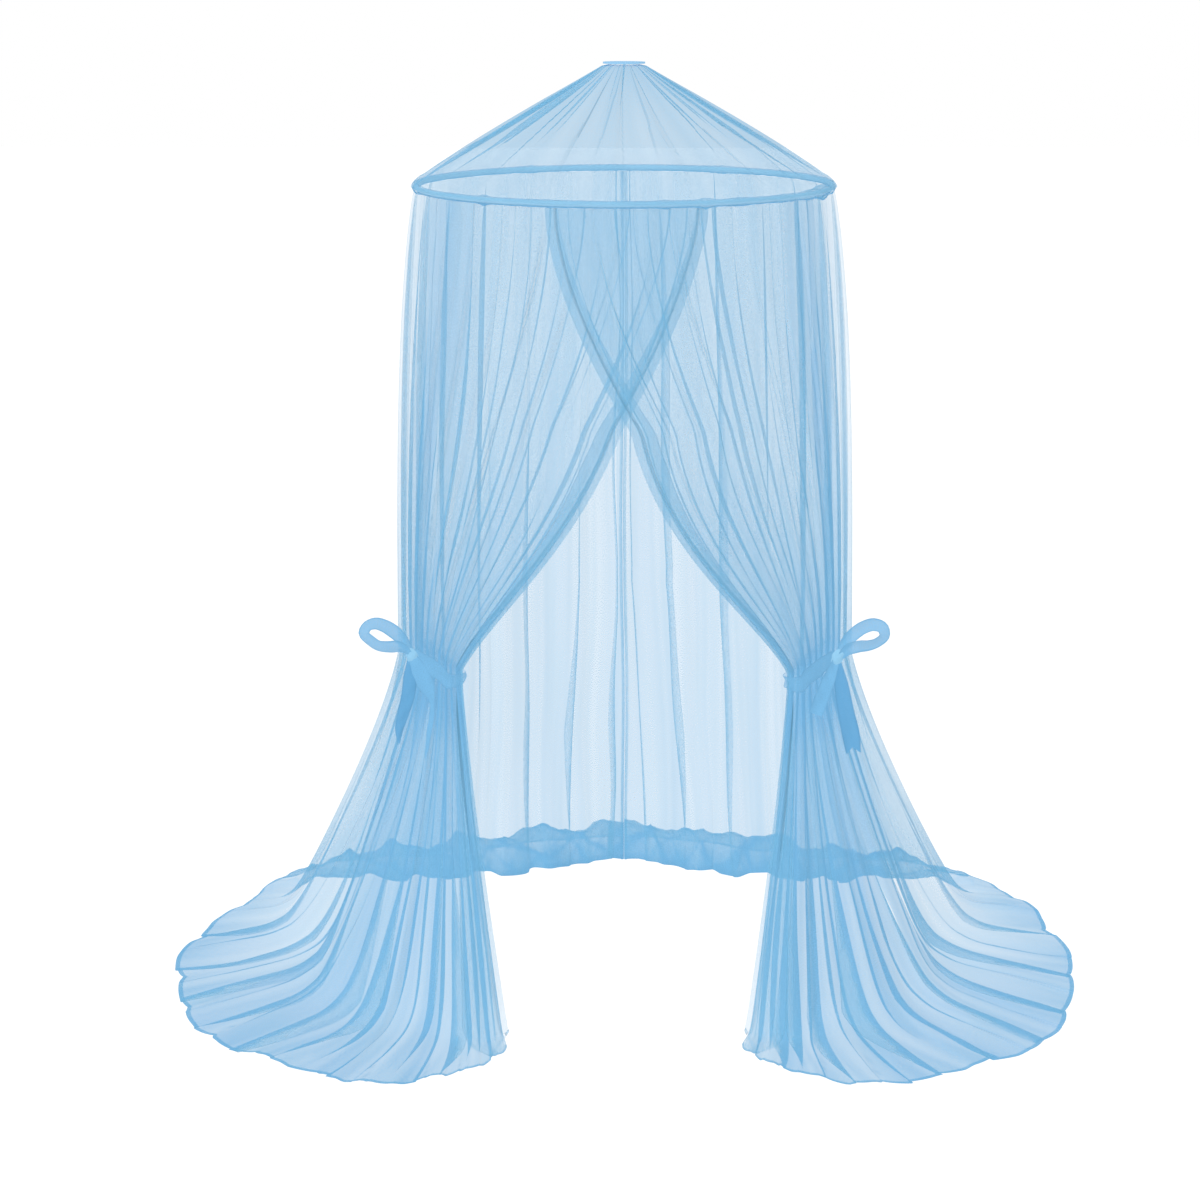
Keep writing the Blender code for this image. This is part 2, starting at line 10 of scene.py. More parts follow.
import bpy
import numpy as np
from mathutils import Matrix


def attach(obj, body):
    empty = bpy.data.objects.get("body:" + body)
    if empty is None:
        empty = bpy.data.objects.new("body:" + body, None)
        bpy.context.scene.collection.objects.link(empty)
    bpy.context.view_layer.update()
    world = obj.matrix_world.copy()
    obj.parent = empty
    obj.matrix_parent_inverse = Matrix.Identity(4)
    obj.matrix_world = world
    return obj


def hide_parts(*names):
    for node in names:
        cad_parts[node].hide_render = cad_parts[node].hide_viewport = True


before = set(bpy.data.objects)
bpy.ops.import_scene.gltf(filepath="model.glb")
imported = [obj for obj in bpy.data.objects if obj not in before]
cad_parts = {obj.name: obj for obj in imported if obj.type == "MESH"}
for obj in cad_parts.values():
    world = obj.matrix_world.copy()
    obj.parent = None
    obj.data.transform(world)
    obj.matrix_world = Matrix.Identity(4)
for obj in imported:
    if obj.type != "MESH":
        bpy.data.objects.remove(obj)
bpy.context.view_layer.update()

# ---- Studio --------------------------------------------------------------------------------
# The canopy hangs over a plain white floor in soft, even light. It is seen from the front, from
# just above the height of its crown.

FLOOR = -2.317
FLOOR_GAP = 0.001  # the studio's floor lies this far under the hem
FLOOR_REACH = 30.0
FLOOR_COLOURS = ((0.955, 0.958, 0.960), (0.970, 0.972, 0.974))
CAMERA_DISTANCE = 5.0
CAMERA_ABOVE_CROWN = 0.154
CAMERA_DOWN = math.radians(16.5)
CAMERA_LENS = 61.4
CAMERA_SENSOR = 36
CAMERA_SHIFT = -0.02
CAMERA_SEES = 200.0
ROOM_LIGHT = 0.92
KEY_LIGHT = 0.9
KEY_SOFTNESS = math.radians(50)
KEY_TURN = (math.radians(38), 0, math.radians(-28))
SHEER_LAYERS = 96  # one line of sight passes through many layers of net
WHITE = (1, 1, 1, 1)

scene = bpy.context.scene
scene.view_settings.view_transform = "Standard"
scene.cycles.transparent_max_bounces = SHEER_LAYERS
scene.cycles.max_bounces = 4

camera_data = bpy.data.cameras.new("camera")
camera_data.lens = CAMERA_LENS
camera_data.sensor_width = CAMERA_SENSOR
camera_data.shift_x = CAMERA_SHIFT
camera_data.clip_end = CAMERA_SEES
camera = bpy.data.objects.new("camera", camera_data)
camera.location = (0, -CAMERA_DISTANCE, CAMERA_ABOVE_CROWN)
camera.rotation_euler = (math.pi / 2 - CAMERA_DOWN, 0, 0)
scene.collection.objects.link(camera)
scene.camera = camera


def add_node(tree, kind, settings=None, inputs=None):
    """A shader node. Each of its inputs is a plain value or another node's output."""
    made = tree.nodes.new(kind)
    for name, value in (settings or {}).items():
        setattr(made, name, value)
    for key, value in (inputs or {}).items():
        if isinstance(value, bpy.types.NodeSocket):
            tree.links.new(value, made.inputs[key])
        else:
            made.inputs[key].default_value = value
    return made


def cloudy(tree, place, scale, detail):
    """Soft uneven patches, from 0 to 1."""
    inputs = {"Vector": place, "Scale": scale, "Detail": detail}
    return add_node(tree, "ShaderNodeTexNoise", inputs=inputs).outputs["Fac"]


def new_material(name, roughness=0.5, specular=0.5):
    """A new material, with its tree of nodes and its shader."""
    material = bpy.data.materials.new(name)
    material.use_nodes = True
    shader = material.node_tree.nodes["Principled BSDF"]
    shader.inputs["Roughness"].default_value = roughness
    shader.inputs["Specular IOR Level"].default_value = specular
    return material, material.node_tree, shader


def blend_colours(tree, shade, low, high, ends=(0.0, 1.0)):
    """A colour that runs from low to high while the shade runs from one end to the other."""
    ramp = add_node(tree, "ShaderNodeValToRGB", inputs={"Fac": shade})
    for stop, place, colour in zip(ramp.color_ramp.elements, ends, (low, high)):
        stop.position = place
        stop.color = (*colour, 1)
    return ramp.outputs["Color"]


def light_the_room():
    """White all round: a little brighter where it is looked at than where it lights the cloth."""
    world = bpy.data.worlds.new("studio")
    world.use_nodes = True
    tree = world.node_tree
    tree.nodes.clear()
    seen = add_node(tree, "ShaderNodeLightPath").outputs["Is Camera Ray"]
    lit, shown = (
        add_node(tree, "ShaderNodeBackground", inputs={"Color": WHITE, "Strength": strength})
        for strength in (ROOM_LIGHT, 1.0)
    )
    sides = {0: seen, 1: lit.outputs[0], 2: shown.outputs[0]}
    mixed = add_node(tree, "ShaderNodeMixShader", inputs=sides)
    add_node(tree, "ShaderNodeOutputWorld", inputs={"Surface": mixed.outputs[0]})
    scene.world = world
    key = bpy.data.lights.new("key", "SUN")
    key.energy = KEY_LIGHT
    key.angle = KEY_SOFTNESS
    key_light = bpy.data.objects.new("key", key)
    key_light.rotation_euler = KEY_TURN
    scene.collection.objects.link(key_light)


def floor_material():
    material, tree, shader = new_material("studio floor", roughness=0.9, specular=0.1)
    place = add_node(tree, "ShaderNodeTexCoord").outputs["Object"]
    colour = blend_colours(tree, cloudy(tree, place, 0.7, 2.0), *FLOOR_COLOURS)
    tree.links.new(colour, shader.inputs["Base Color"])
    return material


def lay_floor():
    data = bpy.data.meshes.new("studio_floor")
    sides = [(-1, -1), (1, -1), (1, 1), (-1, 1)]
    corners = [(x * FLOOR_REACH, y * FLOOR_REACH, FLOOR - FLOOR_GAP) for x, y in sides]
    data.from_pydata(corners, [], [(0, 1, 2, 3)])
    data.materials.append(floor_material())
    floor = bpy.data.objects.new("studio_floor", data)
    scene.collection.objects.link(floor)


light_the_room()
lay_floor()

# ---- Crown ---------------------------------------------------------------------------------
# Flat round patch of the same net, folded over several times and stitched round. The top of the
# roof is gathered under it, and the whole canopy hangs by it.

CROWN_COLOURS = ((0.16, 0.42, 0.70), (0.27, 0.53, 0.78))


def combine(tree, operation, *values):
    """One step of arithmetic on node outputs and plain values."""
    return add_node(
        tree, "ShaderNodeMath", {"operation": operation}, dict(enumerate(values))
    ).outputs[0]


def add_relief(tree, shader, height, strength, depth):
    """A fine relief on the surface."""
    inputs = {"Strength": strength, "Distance": depth, "Height": height}
    bump = add_node(tree, "ShaderNodeBump", inputs=inputs)
    tree.links.new(bump.outputs["Normal"], shader.inputs["Normal"])


def finish_solid(node, material):
    """The finish of a solid that is shown as it was packed."""
    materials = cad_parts[node].data.materials
    materials.clear()
    materials.append(material)


def crown_material():
    """Close net in rings of stitching."""
    material, tree, shader = new_material("crown patch", roughness=0.85)
    place = add_node(tree, "ShaderNodeTexCoord").outputs["Object"]
    rings = add_node(
        tree,
        "ShaderNodeTexWave",
        {"wave_type": "RINGS", "rings_direction": "Z"},
        {"Vector": place, "Scale": 28.0, "Distortion": 0.6, "Detail": 1.0},
    ).outputs["Fac"]
    weave = add_node(tree, "ShaderNodeTexVoronoi", inputs={"Vector": place, "Scale": 700.0})
    stitched = combine(tree, "MULTIPLY_ADD", weave.outputs["Distance"], 0.5, rings)
    colour = blend_colours(tree, stitched, *CROWN_COLOURS)
    tree.links.new(colour, shader.inputs["Base Color"])
    add_relief(tree, shader, stitched, 0.35, 0.001)
    return material


finish_solid("crown", crown_material())

# ---- Roof ----------------------------------------------------------------------------------
# A cone of net, cut as one ring and gathered into the crown. It is stretched down to the hoop, and
# its gathers run out into flat pleats and soft folds. Its one seam is at the middle of the back.

HOOP_RADIUS = 0.500
HOOP_DROP = 0.285
ROOF_TOP_RADIUS = 0.047
ROOF_TUCKED_RADIUS = 0.036  # its top edge is tucked in under the crown
ROOF_TOP = -0.0057
ROOF_BOTTOM = -0.2745
ROOF_ROUNDS = 0.96  # its lowest strip bends down round the outside of the hoop's casing
ROOF_HEM = 0.0105
ROOF_FOLDS = 17
ROOF_FOLD = 0.010  # depth of a usual fold half way down
ROOF_EDGE_FOLD = 0.0008  # and at the crown and the hoop
ROOF_ROWS = 76
ROOF_COLUMNS = 760  # about so many
ROOF_PLEAT_HEIGHT = 0.0035
ROOF_DENSITY = 0.34
ROOF_FLAT = (3.40, 0.53)
ROOF_STREAKS = (0.31, 0.19, 0.11)  # widths of the streaks in the cloth
SHARP_FOLD = math.radians(50)  # a crease that turns more than this has a sharp edge
PLEAT_TURN = 0.12  # share of a pleat's width that its turned-back layer takes
PLEAT_COLUMNS = 11  # least number of columns in one pleat
PLEAT_FULL_LAP = 0.015  # a pleat that laps less than this stands lower

# Pleats that the gathering leaves, lying flat: where each starts at the crown and at the hoop, in
# degrees from the front towards the right, and how far it laps, in metres, on its way down.
RoofPleat = namedtuple("RoofPleat", "crown hoop top quarter half low foot")

ROOF_PLEATS = [
    RoofPleat(-150, -152, 0.003, 0.008, 0.014, 0.008, 0.002),
    RoofPleat(-122, -126, 0.003, 0.010, 0.016, 0.010, 0.002),
    RoofPleat(-98, -104, 0.004, 0.012, 0.022, 0.026, 0.008),
    RoofPleat(-80, -88, 0.004, 0.014, 0.026, 0.034, 0.016),
    RoofPleat(-66, -76, 0.004, 0.014, 0.024, 0.028, 0.020),
    RoofPleat(-54, -64, 0.005, 0.016, 0.024, 0.022, 0.012),
    RoofPleat(-35, -39, 0.004, 0.009, 0.010, 0.005, 0.000),
    RoofPleat(-22, -20, 0.002, 0.004, 0.003, 0.000, 0.000),
    RoofPleat(-12, -8, 0.003, 0.006, 0.004, 0.000, 0.000),
    RoofPleat(10, 19, 0.003, 0.007, 0.008, 0.006, 0.002),
    RoofPleat(38, 37, 0.004, 0.008, 0.006, 0.003, 0.000),
    RoofPleat(68, 54, 0.005, 0.014, 0.022, 0.020, 0.014),
    RoofPleat(80, 72, 0.004, 0.016, 0.028, 0.034, 0.022),
    RoofPleat(92, 86, 0.004, 0.014, 0.026, 0.030, 0.018),
    RoofPleat(112, 108, 0.003, 0.010, 0.018, 0.012, 0.003),
    RoofPleat(140, 138, 0.003, 0.008, 0.014, 0.008, 0.002),
    RoofPleat(164, 163, 0.003, 0.007, 0.009, 0.006, 0.002),
    RoofPleat(182, 182, 0.008, 0.012, 0.014, 0.014, 0.014),
]


def smooth_step(value, start=0.0, run=1.0):
    """0 up to the start, 1 from the end of the run, and a smooth rise between."""
    part = np.clip((value - start) / run, 0.0, 1.0)
    return part * part * (3 - 2 * part)


def unit(vectors):
    return vectors / np.maximum(np.linalg.norm(vectors, axis=-1, keepdims=True), 1e-9)


def fold_side(part):
    """Which side of the cloth this part of a fold is on, from -1 to 1."""
    return 2 * (smooth_step(part, 0.3, 0.2) - smooth_step(part, 0.8, 0.2)) - 1


def lay_pleats(starts, laps, columns):
    """Flat pleats across a cloth. For each row, starts holds where they begin and where the last
    one ends, and laps how far each lies over its neighbour (below 0: over the other one). Returns
    each column's place, its shift back over the cloth, and its rise from 0 to 1."""
    places, shifts, rises = [], [], []
    widths = (starts[:, 1:] - starts[:, :-1]).mean(axis=0)
    counts = np.maximum(PLEAT_COLUMNS, np.round(columns * widths / widths.sum())).astype(int)
    for number, count in enumerate(counts):
        # columns lie close together next to each fold, so that it stays sharp
        back = PLEAT_TURN * np.array([0, 0.1, 0.5, 0.9, 1.0])
        on = np.array([0.03, *np.linspace(0.1, 0.92, count - 7), 0.98])
        along = np.concatenate([back, PLEAT_TURN + (1 - PLEAT_TURN) * on])
        rise = np.where(along < PLEAT_TURN, along / PLEAT_TURN, (1 - along) / (1 - PLEAT_TURN))
        if laps[:, number].mean() < 0:
            along, rise = 1 - along[::-1], rise[::-1]
            along, rise = np.concatenate([[0], along[:-1]]), np.concatenate([[0], rise[:-1]])
        here, after = starts[:, number : number + 1], starts[:, number + 1 : number + 2]
        lap = laps[:, number : number + 1]
        places.append(here + along * (after - here))
        shifts.append(-lap * rise)
        rises.append(np.sin(rise * np.pi / 2) * np.minimum(1, np.abs(lap) / PLEAT_FULL_LAP))
    return tuple(np.concatenate(part, axis=1) for part in (places, shifts, rises))


def creasing(points, closed):
    """How sharply each row of points turns: 0 where it is straight, 1 at a fold's edge."""
    wide = np.concatenate([points[:, -1:], points, points[:, :1]], axis=1)
    steps = unit(np.diff(wide, axis=1))
    turn = np.clip(1 - np.sum(steps[:, 1:] * steps[:, :-1], axis=-1), 0, 1)
    if not closed:
        turn[:, [0, -1]] = 0
    return turn


def streaks(across, rows, seed, lengths, drift=0.8):
    """Uneven closeness of the threads, from -1 to 1: long streaks down the cloth."""
    random = np.random.default_rng(seed)
    total = np.zeros((rows, len(across)))
    down = np.linspace(0, 1, rows)[:, None]
    for length in lengths:
        turn, phase = random.uniform(0, 2 * np.pi, 2)
        wander = drift * np.sin(down * random.uniform(3, 9) + turn)
        total += np.sin(2 * np.pi * across[None, :] / length + phase + wander)
    return total / np.sqrt(len(lengths))


def flat_cloth(across, down):
    """Each point's place on the flat cloth, from the places of its columns and rows."""
    return np.stack(np.meshgrid(across, down), axis=-1)


def even_cloth(size, columns, rows):
    """The flat cloth of a closed sheet, with its columns and rows spread evenly over its size."""
    return flat_cloth(np.linspace(0, size[0], columns + 1), np.linspace(0, size[1], rows))


def cloth_piece(name, points, cloth, material, marks, closed=False):
    """A sheet through a grid of points. cloth holds each point's place on the flat cloth, with one
    more column where the sheet is closed, and marks the values that its material reads."""
    rows, columns = points.shape[:2]
    index = np.arange(rows * columns).reshape(rows, columns)
    after = np.roll(index, -1, axis=1) if closed else index[:, 1:]
    here = index if closed else index[:, :-1]
    corners = np.stack([here[:-1], here[1:], after[1:], after[:-1]], axis=-1).reshape(-1, 4)
    data = bpy.data.meshes.new(name)
    data.vertices.add(rows * columns)
    data.vertices.foreach_set("co", points.astype(np.float32).ravel())
    data.loops.add(corners.size)
    data.loops.foreach_set("vertex_index", corners.astype(np.int32).ravel())
    data.polygons.add(len(corners))
    data.polygons.foreach_set("loop_start", np.arange(0, corners.size, 4, dtype=np.int32))
    data.update(calc_edges=True)
    left, right = cloth[:, :-1], cloth[:, 1:]
    places = np.stack([left[:-1], left[1:], right[1:], right[:-1]], axis=2).reshape(-1, 2)
    layer = data.uv_layers.new(name="cloth")
    layer.data.foreach_set("uv", places.astype(np.float32).ravel())
    for mark, values in marks.items():
        attribute = data.attributes.new(mark, "FLOAT", "POINT")
        attribute.data.foreach_set("value", values.astype(np.float32).ravel())
    data.set_sharp_from_angle(angle=SHARP_FOLD)
    data.materials.append(material)
    piece = bpy.data.objects.new(name, data)
    piece.visible_shadow = False  # sheer net in soft light throws next to no shade
    piece.visible_diffuse = False
    scene.collection.objects.link(piece)
    return piece


NET_DEEP = (0.152, 0.394, 0.648)
NET_PALE = (0.160, 0.412, 0.630)
WEAVE = 0.0016  # two of the net's little holes
STREAK_WEIGHT = 0.14  # how much closer the net looks in a streak
HOLE_WEIGHT = 0.03  # between its holes
CREASE_WEIGHT = 0.28  # and at the edge of a sharp fold
CLOSEST = 0.98
STITCH_SHADE = 0.50  # painted shade: how much darker the colour is made along a line of stitches
CREASE_SHADE = 0.18  # and painted shade at the edge of a sharp fold
STITCHED = 1.3  # across a hem, cloth that looks closer than this is stitched, and gets painted shade

# Across a hem: how far from the cloth's edge, and how close the cloth looks there.
HEM_LINES_END = 0.1
HEM_LINES = [
    (0.000, 1.15), (0.003, 1.00), (0.018, 1.00), (0.022, 2.00), (0.0275, 2.00), (0.0288, 0.95),
    (0.0294, 0.30), (0.0314, 0.30), (0.0325, 1.05), (0.060, 1.00),
]


def net_material(name, density, deep=NET_DEEP, pale=NET_PALE, drawn=(20.0, 2.5), grained=0.5):
    """Fine net: see-through, closer along its creases, with the grain of its little holes. drawn
    is how often its streaks come across and down the cloth. Across a hem, its line of stitches
    looks closer and the gap next to it is open. Its creases and its line of stitches are also
    darkened with painted shade."""
    material, tree, shader = new_material(name, roughness=0.9, specular=0.05)

    def sums(operation, *values):
        return combine(tree, operation, *values)

    def mark(label):
        return add_node(tree, "ShaderNodeAttribute", {"attribute_name": label}).outputs["Fac"]

    cloth = add_node(tree, "ShaderNodeUVMap", {"uv_map": "cloth"}).outputs["UV"]
    stretch = {"Vector": cloth, "Scale": (*drawn, 1.0)}
    stretched = add_node(tree, "ShaderNodeMapping", inputs=stretch).outputs[0]
    uneven = cloudy(tree, stretched, 1.0, 2.0)
    grain = cloudy(tree, cloth, 320.0, 1.0)
    split = add_node(tree, "ShaderNodeSeparateXYZ", inputs={"Vector": cloth}).outputs
    threads = [sums("SINE", sums("MULTIPLY", split[axis], 2 * math.pi / WEAVE)) for axis in "XY"]
    holes = sums("MULTIPLY", *threads)
    close, crease = mark("closeness"), mark("crease")
    from_edge = sums("MULTIPLY", mark("from_edge"), 1 / HEM_LINES_END)
    hem = add_node(tree, "ShaderNodeValToRGB", inputs={"Fac": from_edge})
    stops = hem.color_ramp.elements
    for number, (place, closeness) in enumerate(HEM_LINES):
        stop = stops[number] if number < 2 else stops.new(place / HEM_LINES_END)
        stop.position = place / HEM_LINES_END
        stop.color = (closeness / 2, closeness / 2, closeness / 2, 1)
    hem = hem.outputs["Color"]

    alpha = sums("MULTIPLY_ADD", uneven, STREAK_WEIGHT, 1 - STREAK_WEIGHT / 2 - grained / 2)
    alpha = sums("MULTIPLY_ADD", grain, grained, alpha)
    alpha = sums("MULTIPLY_ADD", holes, HOLE_WEIGHT, alpha)
    alpha = sums("MULTIPLY", alpha, sums("MULTIPLY", close, density))
    alpha = sums("MULTIPLY", alpha, sums("MULTIPLY", hem, 2.0))
    alpha = sums("MULTIPLY_ADD", crease, CREASE_WEIGHT, alpha)
    tree.links.new(sums("MINIMUM", alpha, CLOSEST), shader.inputs["Alpha"])

    # the closer the threads, the deeper the colour
    shown = sums("MULTIPLY_ADD", uneven, 0.4, sums("MULTIPLY_ADD", close, -0.3, 0.8))
    colour = blend_colours(tree, shown, deep, pale, ends=(0.3, 0.7))
    # painted shade: the colour is darkened along the hem's line of stitches and at the edges of
    # sharp folds
    stitched = sums("MAXIMUM", sums("MULTIPLY_ADD", hem, 2.0, -STITCHED), 0.0)
    shade = sums("MULTIPLY_ADD", stitched, -STITCH_SHADE, 1.0)
    shade = sums("MULTIPLY_ADD", crease, -CREASE_SHADE, shade)
    scaling = {0: colour, "Scale": shade}
    shaded = add_node(tree, "ShaderNodeVectorMath", {"operation": "SCALE"}, scaling)
    tree.links.new(shaded.outputs["Vector"], shader.inputs["Base Color"])
    add_relief(tree, shader, uneven, 0.15, 0.002)
    return material


def roof_grid():
    """The cone with its soft folds and flat pleats, and how close its threads are."""
    down = np.linspace(0, 1, ROOF_ROWS)
    crown = np.radians([pleat.crown for pleat in ROOF_PLEATS])
    hoop = np.radians([pleat.hoop for pleat in ROOF_PLEATS])
    starts = crown + (hoop - crown) * smooth_step(down)[:, None]
    starts = np.concatenate([starts, starts[:, :1] + 2 * np.pi], axis=1)
    quarters = np.linspace(0, 1, 5)
    laps = np.array([np.interp(down, quarters, pleat[2:]) for pleat in ROOF_PLEATS]).T
    angle, shift, rise = lay_pleats(starts, laps, ROOF_COLUMNS)
    down = down[:, None] + 0 * angle
    radius = ROOF_TOP_RADIUS + (HOOP_RADIUS - ROOF_TOP_RADIUS) * down
    radius[0] = ROOF_TUCKED_RADIUS
    height = ROOF_TOP + (ROOF_BOTTOM - ROOF_TOP) * down

    # soft folds, no two alike in width and depth
    turn = (angle / (2 * np.pi)) % 1
    fold = np.floor(turn * ROOF_FOLDS)
    part = turn * ROOF_FOLDS - fold
    part = part - 0.25 * np.sin(1.7 * fold) * part * (1 - part)
    uneven = 1 + 0.35 * np.sin(2.4 * fold + 0.6)
    fold_depth = ROOF_EDGE_FOLD + ROOF_FOLD * np.sin(np.pi * down) ** 0.8
    height = height - fold_depth * (uneven * (1 - fold_side(part)) / 2 - down)
    height = height + ROOF_PLEAT_HEIGHT * rise * np.sin(np.pi * down) ** 0.5

    round_hoop = np.clip((down - ROOF_ROUNDS) / (1 - ROOF_ROUNDS), 0, 1) * np.pi / 2
    radius = radius + ROOF_HEM * np.sin(round_hoop)
    height = height - ROOF_HEM * (1 - np.cos(round_hoop))
    turned = angle + shift / radius
    points = np.stack([radius * np.sin(turned), -radius * np.cos(turned), height], axis=-1)

    # closer where the net is drawn together at the crown, and at the sides
    across = np.linspace(0, ROOF_FLAT[0], angle.shape[1])
    close = 0.90 + 0.18 * np.abs(np.sin(angle)) ** 3 + 0.25 * (1 - down) ** 3
    close = close + 0.06 * streaks(across, ROOF_ROWS, 5, ROOF_STREAKS, drift=0.4)
    return points, close


roof_points, roof_closeness = roof_grid()
roof = cloth_piece(
    "roof_net",
    roof_points,
    even_cloth(ROOF_FLAT, roof_points.shape[1], ROOF_ROWS),
    net_material("net of the roof", ROOF_DENSITY, drawn=(6.0, 3.0), grained=0.2),
    {"crease": creasing(roof_points, True), "closeness": roof_closeness},
    closed=True,
)
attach(roof, "root")
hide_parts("roof")

# ---- Hoop ----------------------------------------------------------------------------------
# A plain smooth rod bent into a ring. It spreads the net, and shows faintly through its casing.

HOOP_COLOURS = ((0.29, 0.54, 0.75), (0.36, 0.60, 0.79))


def hoop_material():
    material, tree, shader = new_material("hoop rod")
    shader.inputs["Coat Weight"].default_value = 0.2
    place = add_node(tree, "ShaderNodeTexCoord").outputs["Object"]
    mottled = cloudy(tree, place, 35.0, 4.0)
    tree.links.new(blend_colours(tree, mottled, *HOOP_COLOURS), shader.inputs["Base Color"])
    spread = {"Value": mottled, "To Min": 0.35, "To Max": 0.55}
    rough = add_node(tree, "ShaderNodeMapRange", inputs=spread)
    tree.links.new(rough.outputs["Result"], shader.inputs["Roughness"])
    return material


finish_solid("hoop", hoop_material())

# ---- Casing --------------------------------------------------------------------------------
# A sleeve of the net in several layers, sewn round the hoop where roof and walls meet. It is
# gathered a little along the rod, and has slipped into a bunch near the right side.

CASING_RADIUS = 0.0084
CASING_SLIT = math.radians(20)
CASING_COLUMNS = 900
CASING_ROWS = 18
CASING_FLAT = (3.5, 0.052)
CASING_DENSITY = 0.34
CASING_GATHER = 0.00045  # depth of the small gathers all round
CASING_PUCKER = 0.0016  # and in a bunch that swells by the next value
CASING_FULL_SWELL = 0.006
CASING_SEAM = 0.10  # share of the sleeve's width that its thick sewn edge takes

# Where the sleeve is bunched: angle from the front, width of the bunch and how much it swells.
Bunch = namedtuple("Bunch", "angle width swell")

CASING_BUNCHES = [
    Bunch(-38.5, 1.6, 0.0032), Bunch(10.4, 1.4, 0.0022), Bunch(21.0, 1.8, 0.0036),
    Bunch(30.0, 3.0, 0.0014), Bunch(60.0, 5.0, 0.0048), Bunch(66.5, 4.0, 0.0062),
    Bunch(73.0, 3.0, 0.0030), Bunch(-74.0, 4.0, 0.0024), Bunch(-20.0, 2.5, 0.0010),
    Bunch(47.0, 3.0, 0.0016), Bunch(150.0, 4.0, 0.0020), Bunch(-150.0, 3.0, 0.0020),
]


def casing_points():
    """The sleeve's surface: rows run round the rod, columns round the hoop."""
    turn = np.arange(CASING_COLUMNS) / CASING_COLUMNS
    degrees = (turn * 360 + 180) % 360 - 180
    start = -np.pi / 2 + CASING_SLIT / 2
    around = (start + (2 * np.pi - CASING_SLIT) * np.linspace(0, 1, CASING_ROWS))[:, None]
    swell = np.zeros(CASING_COLUMNS)
    for bunch in CASING_BUNCHES:
        away = (degrees - bunch.angle + 180) % 360 - 180
        swell += bunch.swell * np.exp(-((away / bunch.width) ** 2))
    angle = 2 * np.pi * turn
    gathers = np.sin(angle * 83 + 2 * np.sin(angle * 7)) * (0.3 + 0.7 * np.sin(angle * 11 + 1) ** 2)
    gathers = gathers * (0.6 + 0.4 * np.sin(around * 2 + angle * 5))
    radius = CASING_RADIUS + swell * (0.8 + 0.4 * np.sin(around * 2 + angle * 31))
    radius = radius + CASING_GATHER * gathers
    puckers = np.sin(angle * 170 + 3 * around)
    radius = radius + CASING_PUCKER * (swell / CASING_FULL_SWELL) * puckers
    out = HOOP_RADIUS + radius * np.cos(around)
    height = -HOOP_DROP + radius * np.sin(around) + 0 * angle
    return np.stack([out * np.sin(angle), -out * np.cos(angle), height], axis=-1)


def casing_closeness():
    """The sleeve's two edges are sewn together under the rod, and the cloth is thicker there."""
    place = np.linspace(0, 1, CASING_ROWS)[:, None]
    seam = np.exp(-((place / CASING_SEAM) ** 2)) + np.exp(-(((1 - place) / CASING_SEAM) ** 2))
    around = 2 * np.pi * np.arange(CASING_COLUMNS) / CASING_COLUMNS
    return 0.9 + 1.8 * seam + 0.15 * np.sin(7 * around + 2) * np.sin(19 * around)


casing = cloth_piece(
    "casing_sleeve",
    casing_points(),
    even_cloth(CASING_FLAT, CASING_COLUMNS, CASING_ROWS),
    net_material("net of the casing", CASING_DENSITY),
    {"crease": np.zeros((CASING_ROWS, CASING_COLUMNS)), "closeness": casing_closeness()},
    closed=True,
)
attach(casing, "root")
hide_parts("hoop_casing")

# ---- Net halves ----------------------------------------------------------------------------
# Two wide panels of fine net, gathered into the casing. Each has a hem turned in along its front
# edge and its foot. They are seamed together at the middle of the back, cross at the front, and
# are drawn in by the ribbons. Below them they fan out over the floor.

HOOP_HEIGHT = 2.032  # above the floor, as all heights of the net halves
NET_TOP = HOOP_HEIGHT - 0.0085
NET_FLAT = (3.1, 2.55)
NET_DENSITY = 0.385

# Where the lines of one half of the net run, from its free front edge (share 0) to the seam at
# the back (share 1). hoop_angle is counted from the front, in degrees, towards the half's own
# side. tie, floor and hem are places on the ground plan: out from the middle, then towards the
# back. pile is how high the spare length is bunched between floor and hem.
Line = namedtuple(
    "Line", "share hoop_angle tie_x tie_y tie_height floor_x floor_y hem_x hem_y pile"
)

LEFT_LINES = [
    Line(0.00, -24, 0.400, -0.220, 0.848, 0.285, -0.430, 0.272, -0.492, 0.00),
    Line(0.08, -9, 0.423, -0.197, 0.856, 0.370, -0.462, 0.350, -0.610, 0.00),
    Line(0.16, 6, 0.445, -0.175, 0.863, 0.470, -0.445, 0.490, -0.676, 0.00),
    Line(0.24, 21, 0.468, -0.152, 0.871, 0.585, -0.375, 0.680, -0.672, 0.00),
    Line(0.32, 36, 0.491, -0.129, 0.878, 0.700, -0.270, 0.880, -0.565, 0.00),
    Line(0.40, 51, 0.513, -0.107, 0.886, 0.800, -0.140, 1.060, -0.425, 0.00),
    Line(0.48, 65, 0.536, -0.084, 0.894, 0.870, 0.030, 1.160, -0.190, 0.00),
    Line(0.54, 77, 0.553, -0.067, 0.899, 0.910, 0.200, 1.172, 0.050, 0.00),
    Line(0.60, 89, 0.566, -0.042, 0.905, 0.925, 0.360, 1.090, 0.285, 0.01),
    Line(0.66, 101, 0.558, 0.108, 0.905, 0.850, 0.450, 0.985, 0.475, 0.03),
    Line(0.73, 115, 0.515, 0.240, 0.905, 0.680, 0.420, 0.820, 0.610, 0.06),
    Line(0.81, 132, 0.422, 0.380, 0.905, 0.480, 0.400, 0.590, 0.640, 0.08),
    Line(0.88, 148, 0.301, 0.482, 0.905, 0.300, 0.500, 0.380, 0.710, 0.09),
    Line(0.94, 164, 0.157, 0.546, 0.905, 0.150, 0.580, 0.180, 0.765, 0.09),
    Line(1.00, 180, 0.000, 0.568, 0.905, 0.000, 0.630, 0.000, 0.790, 0.10),
]
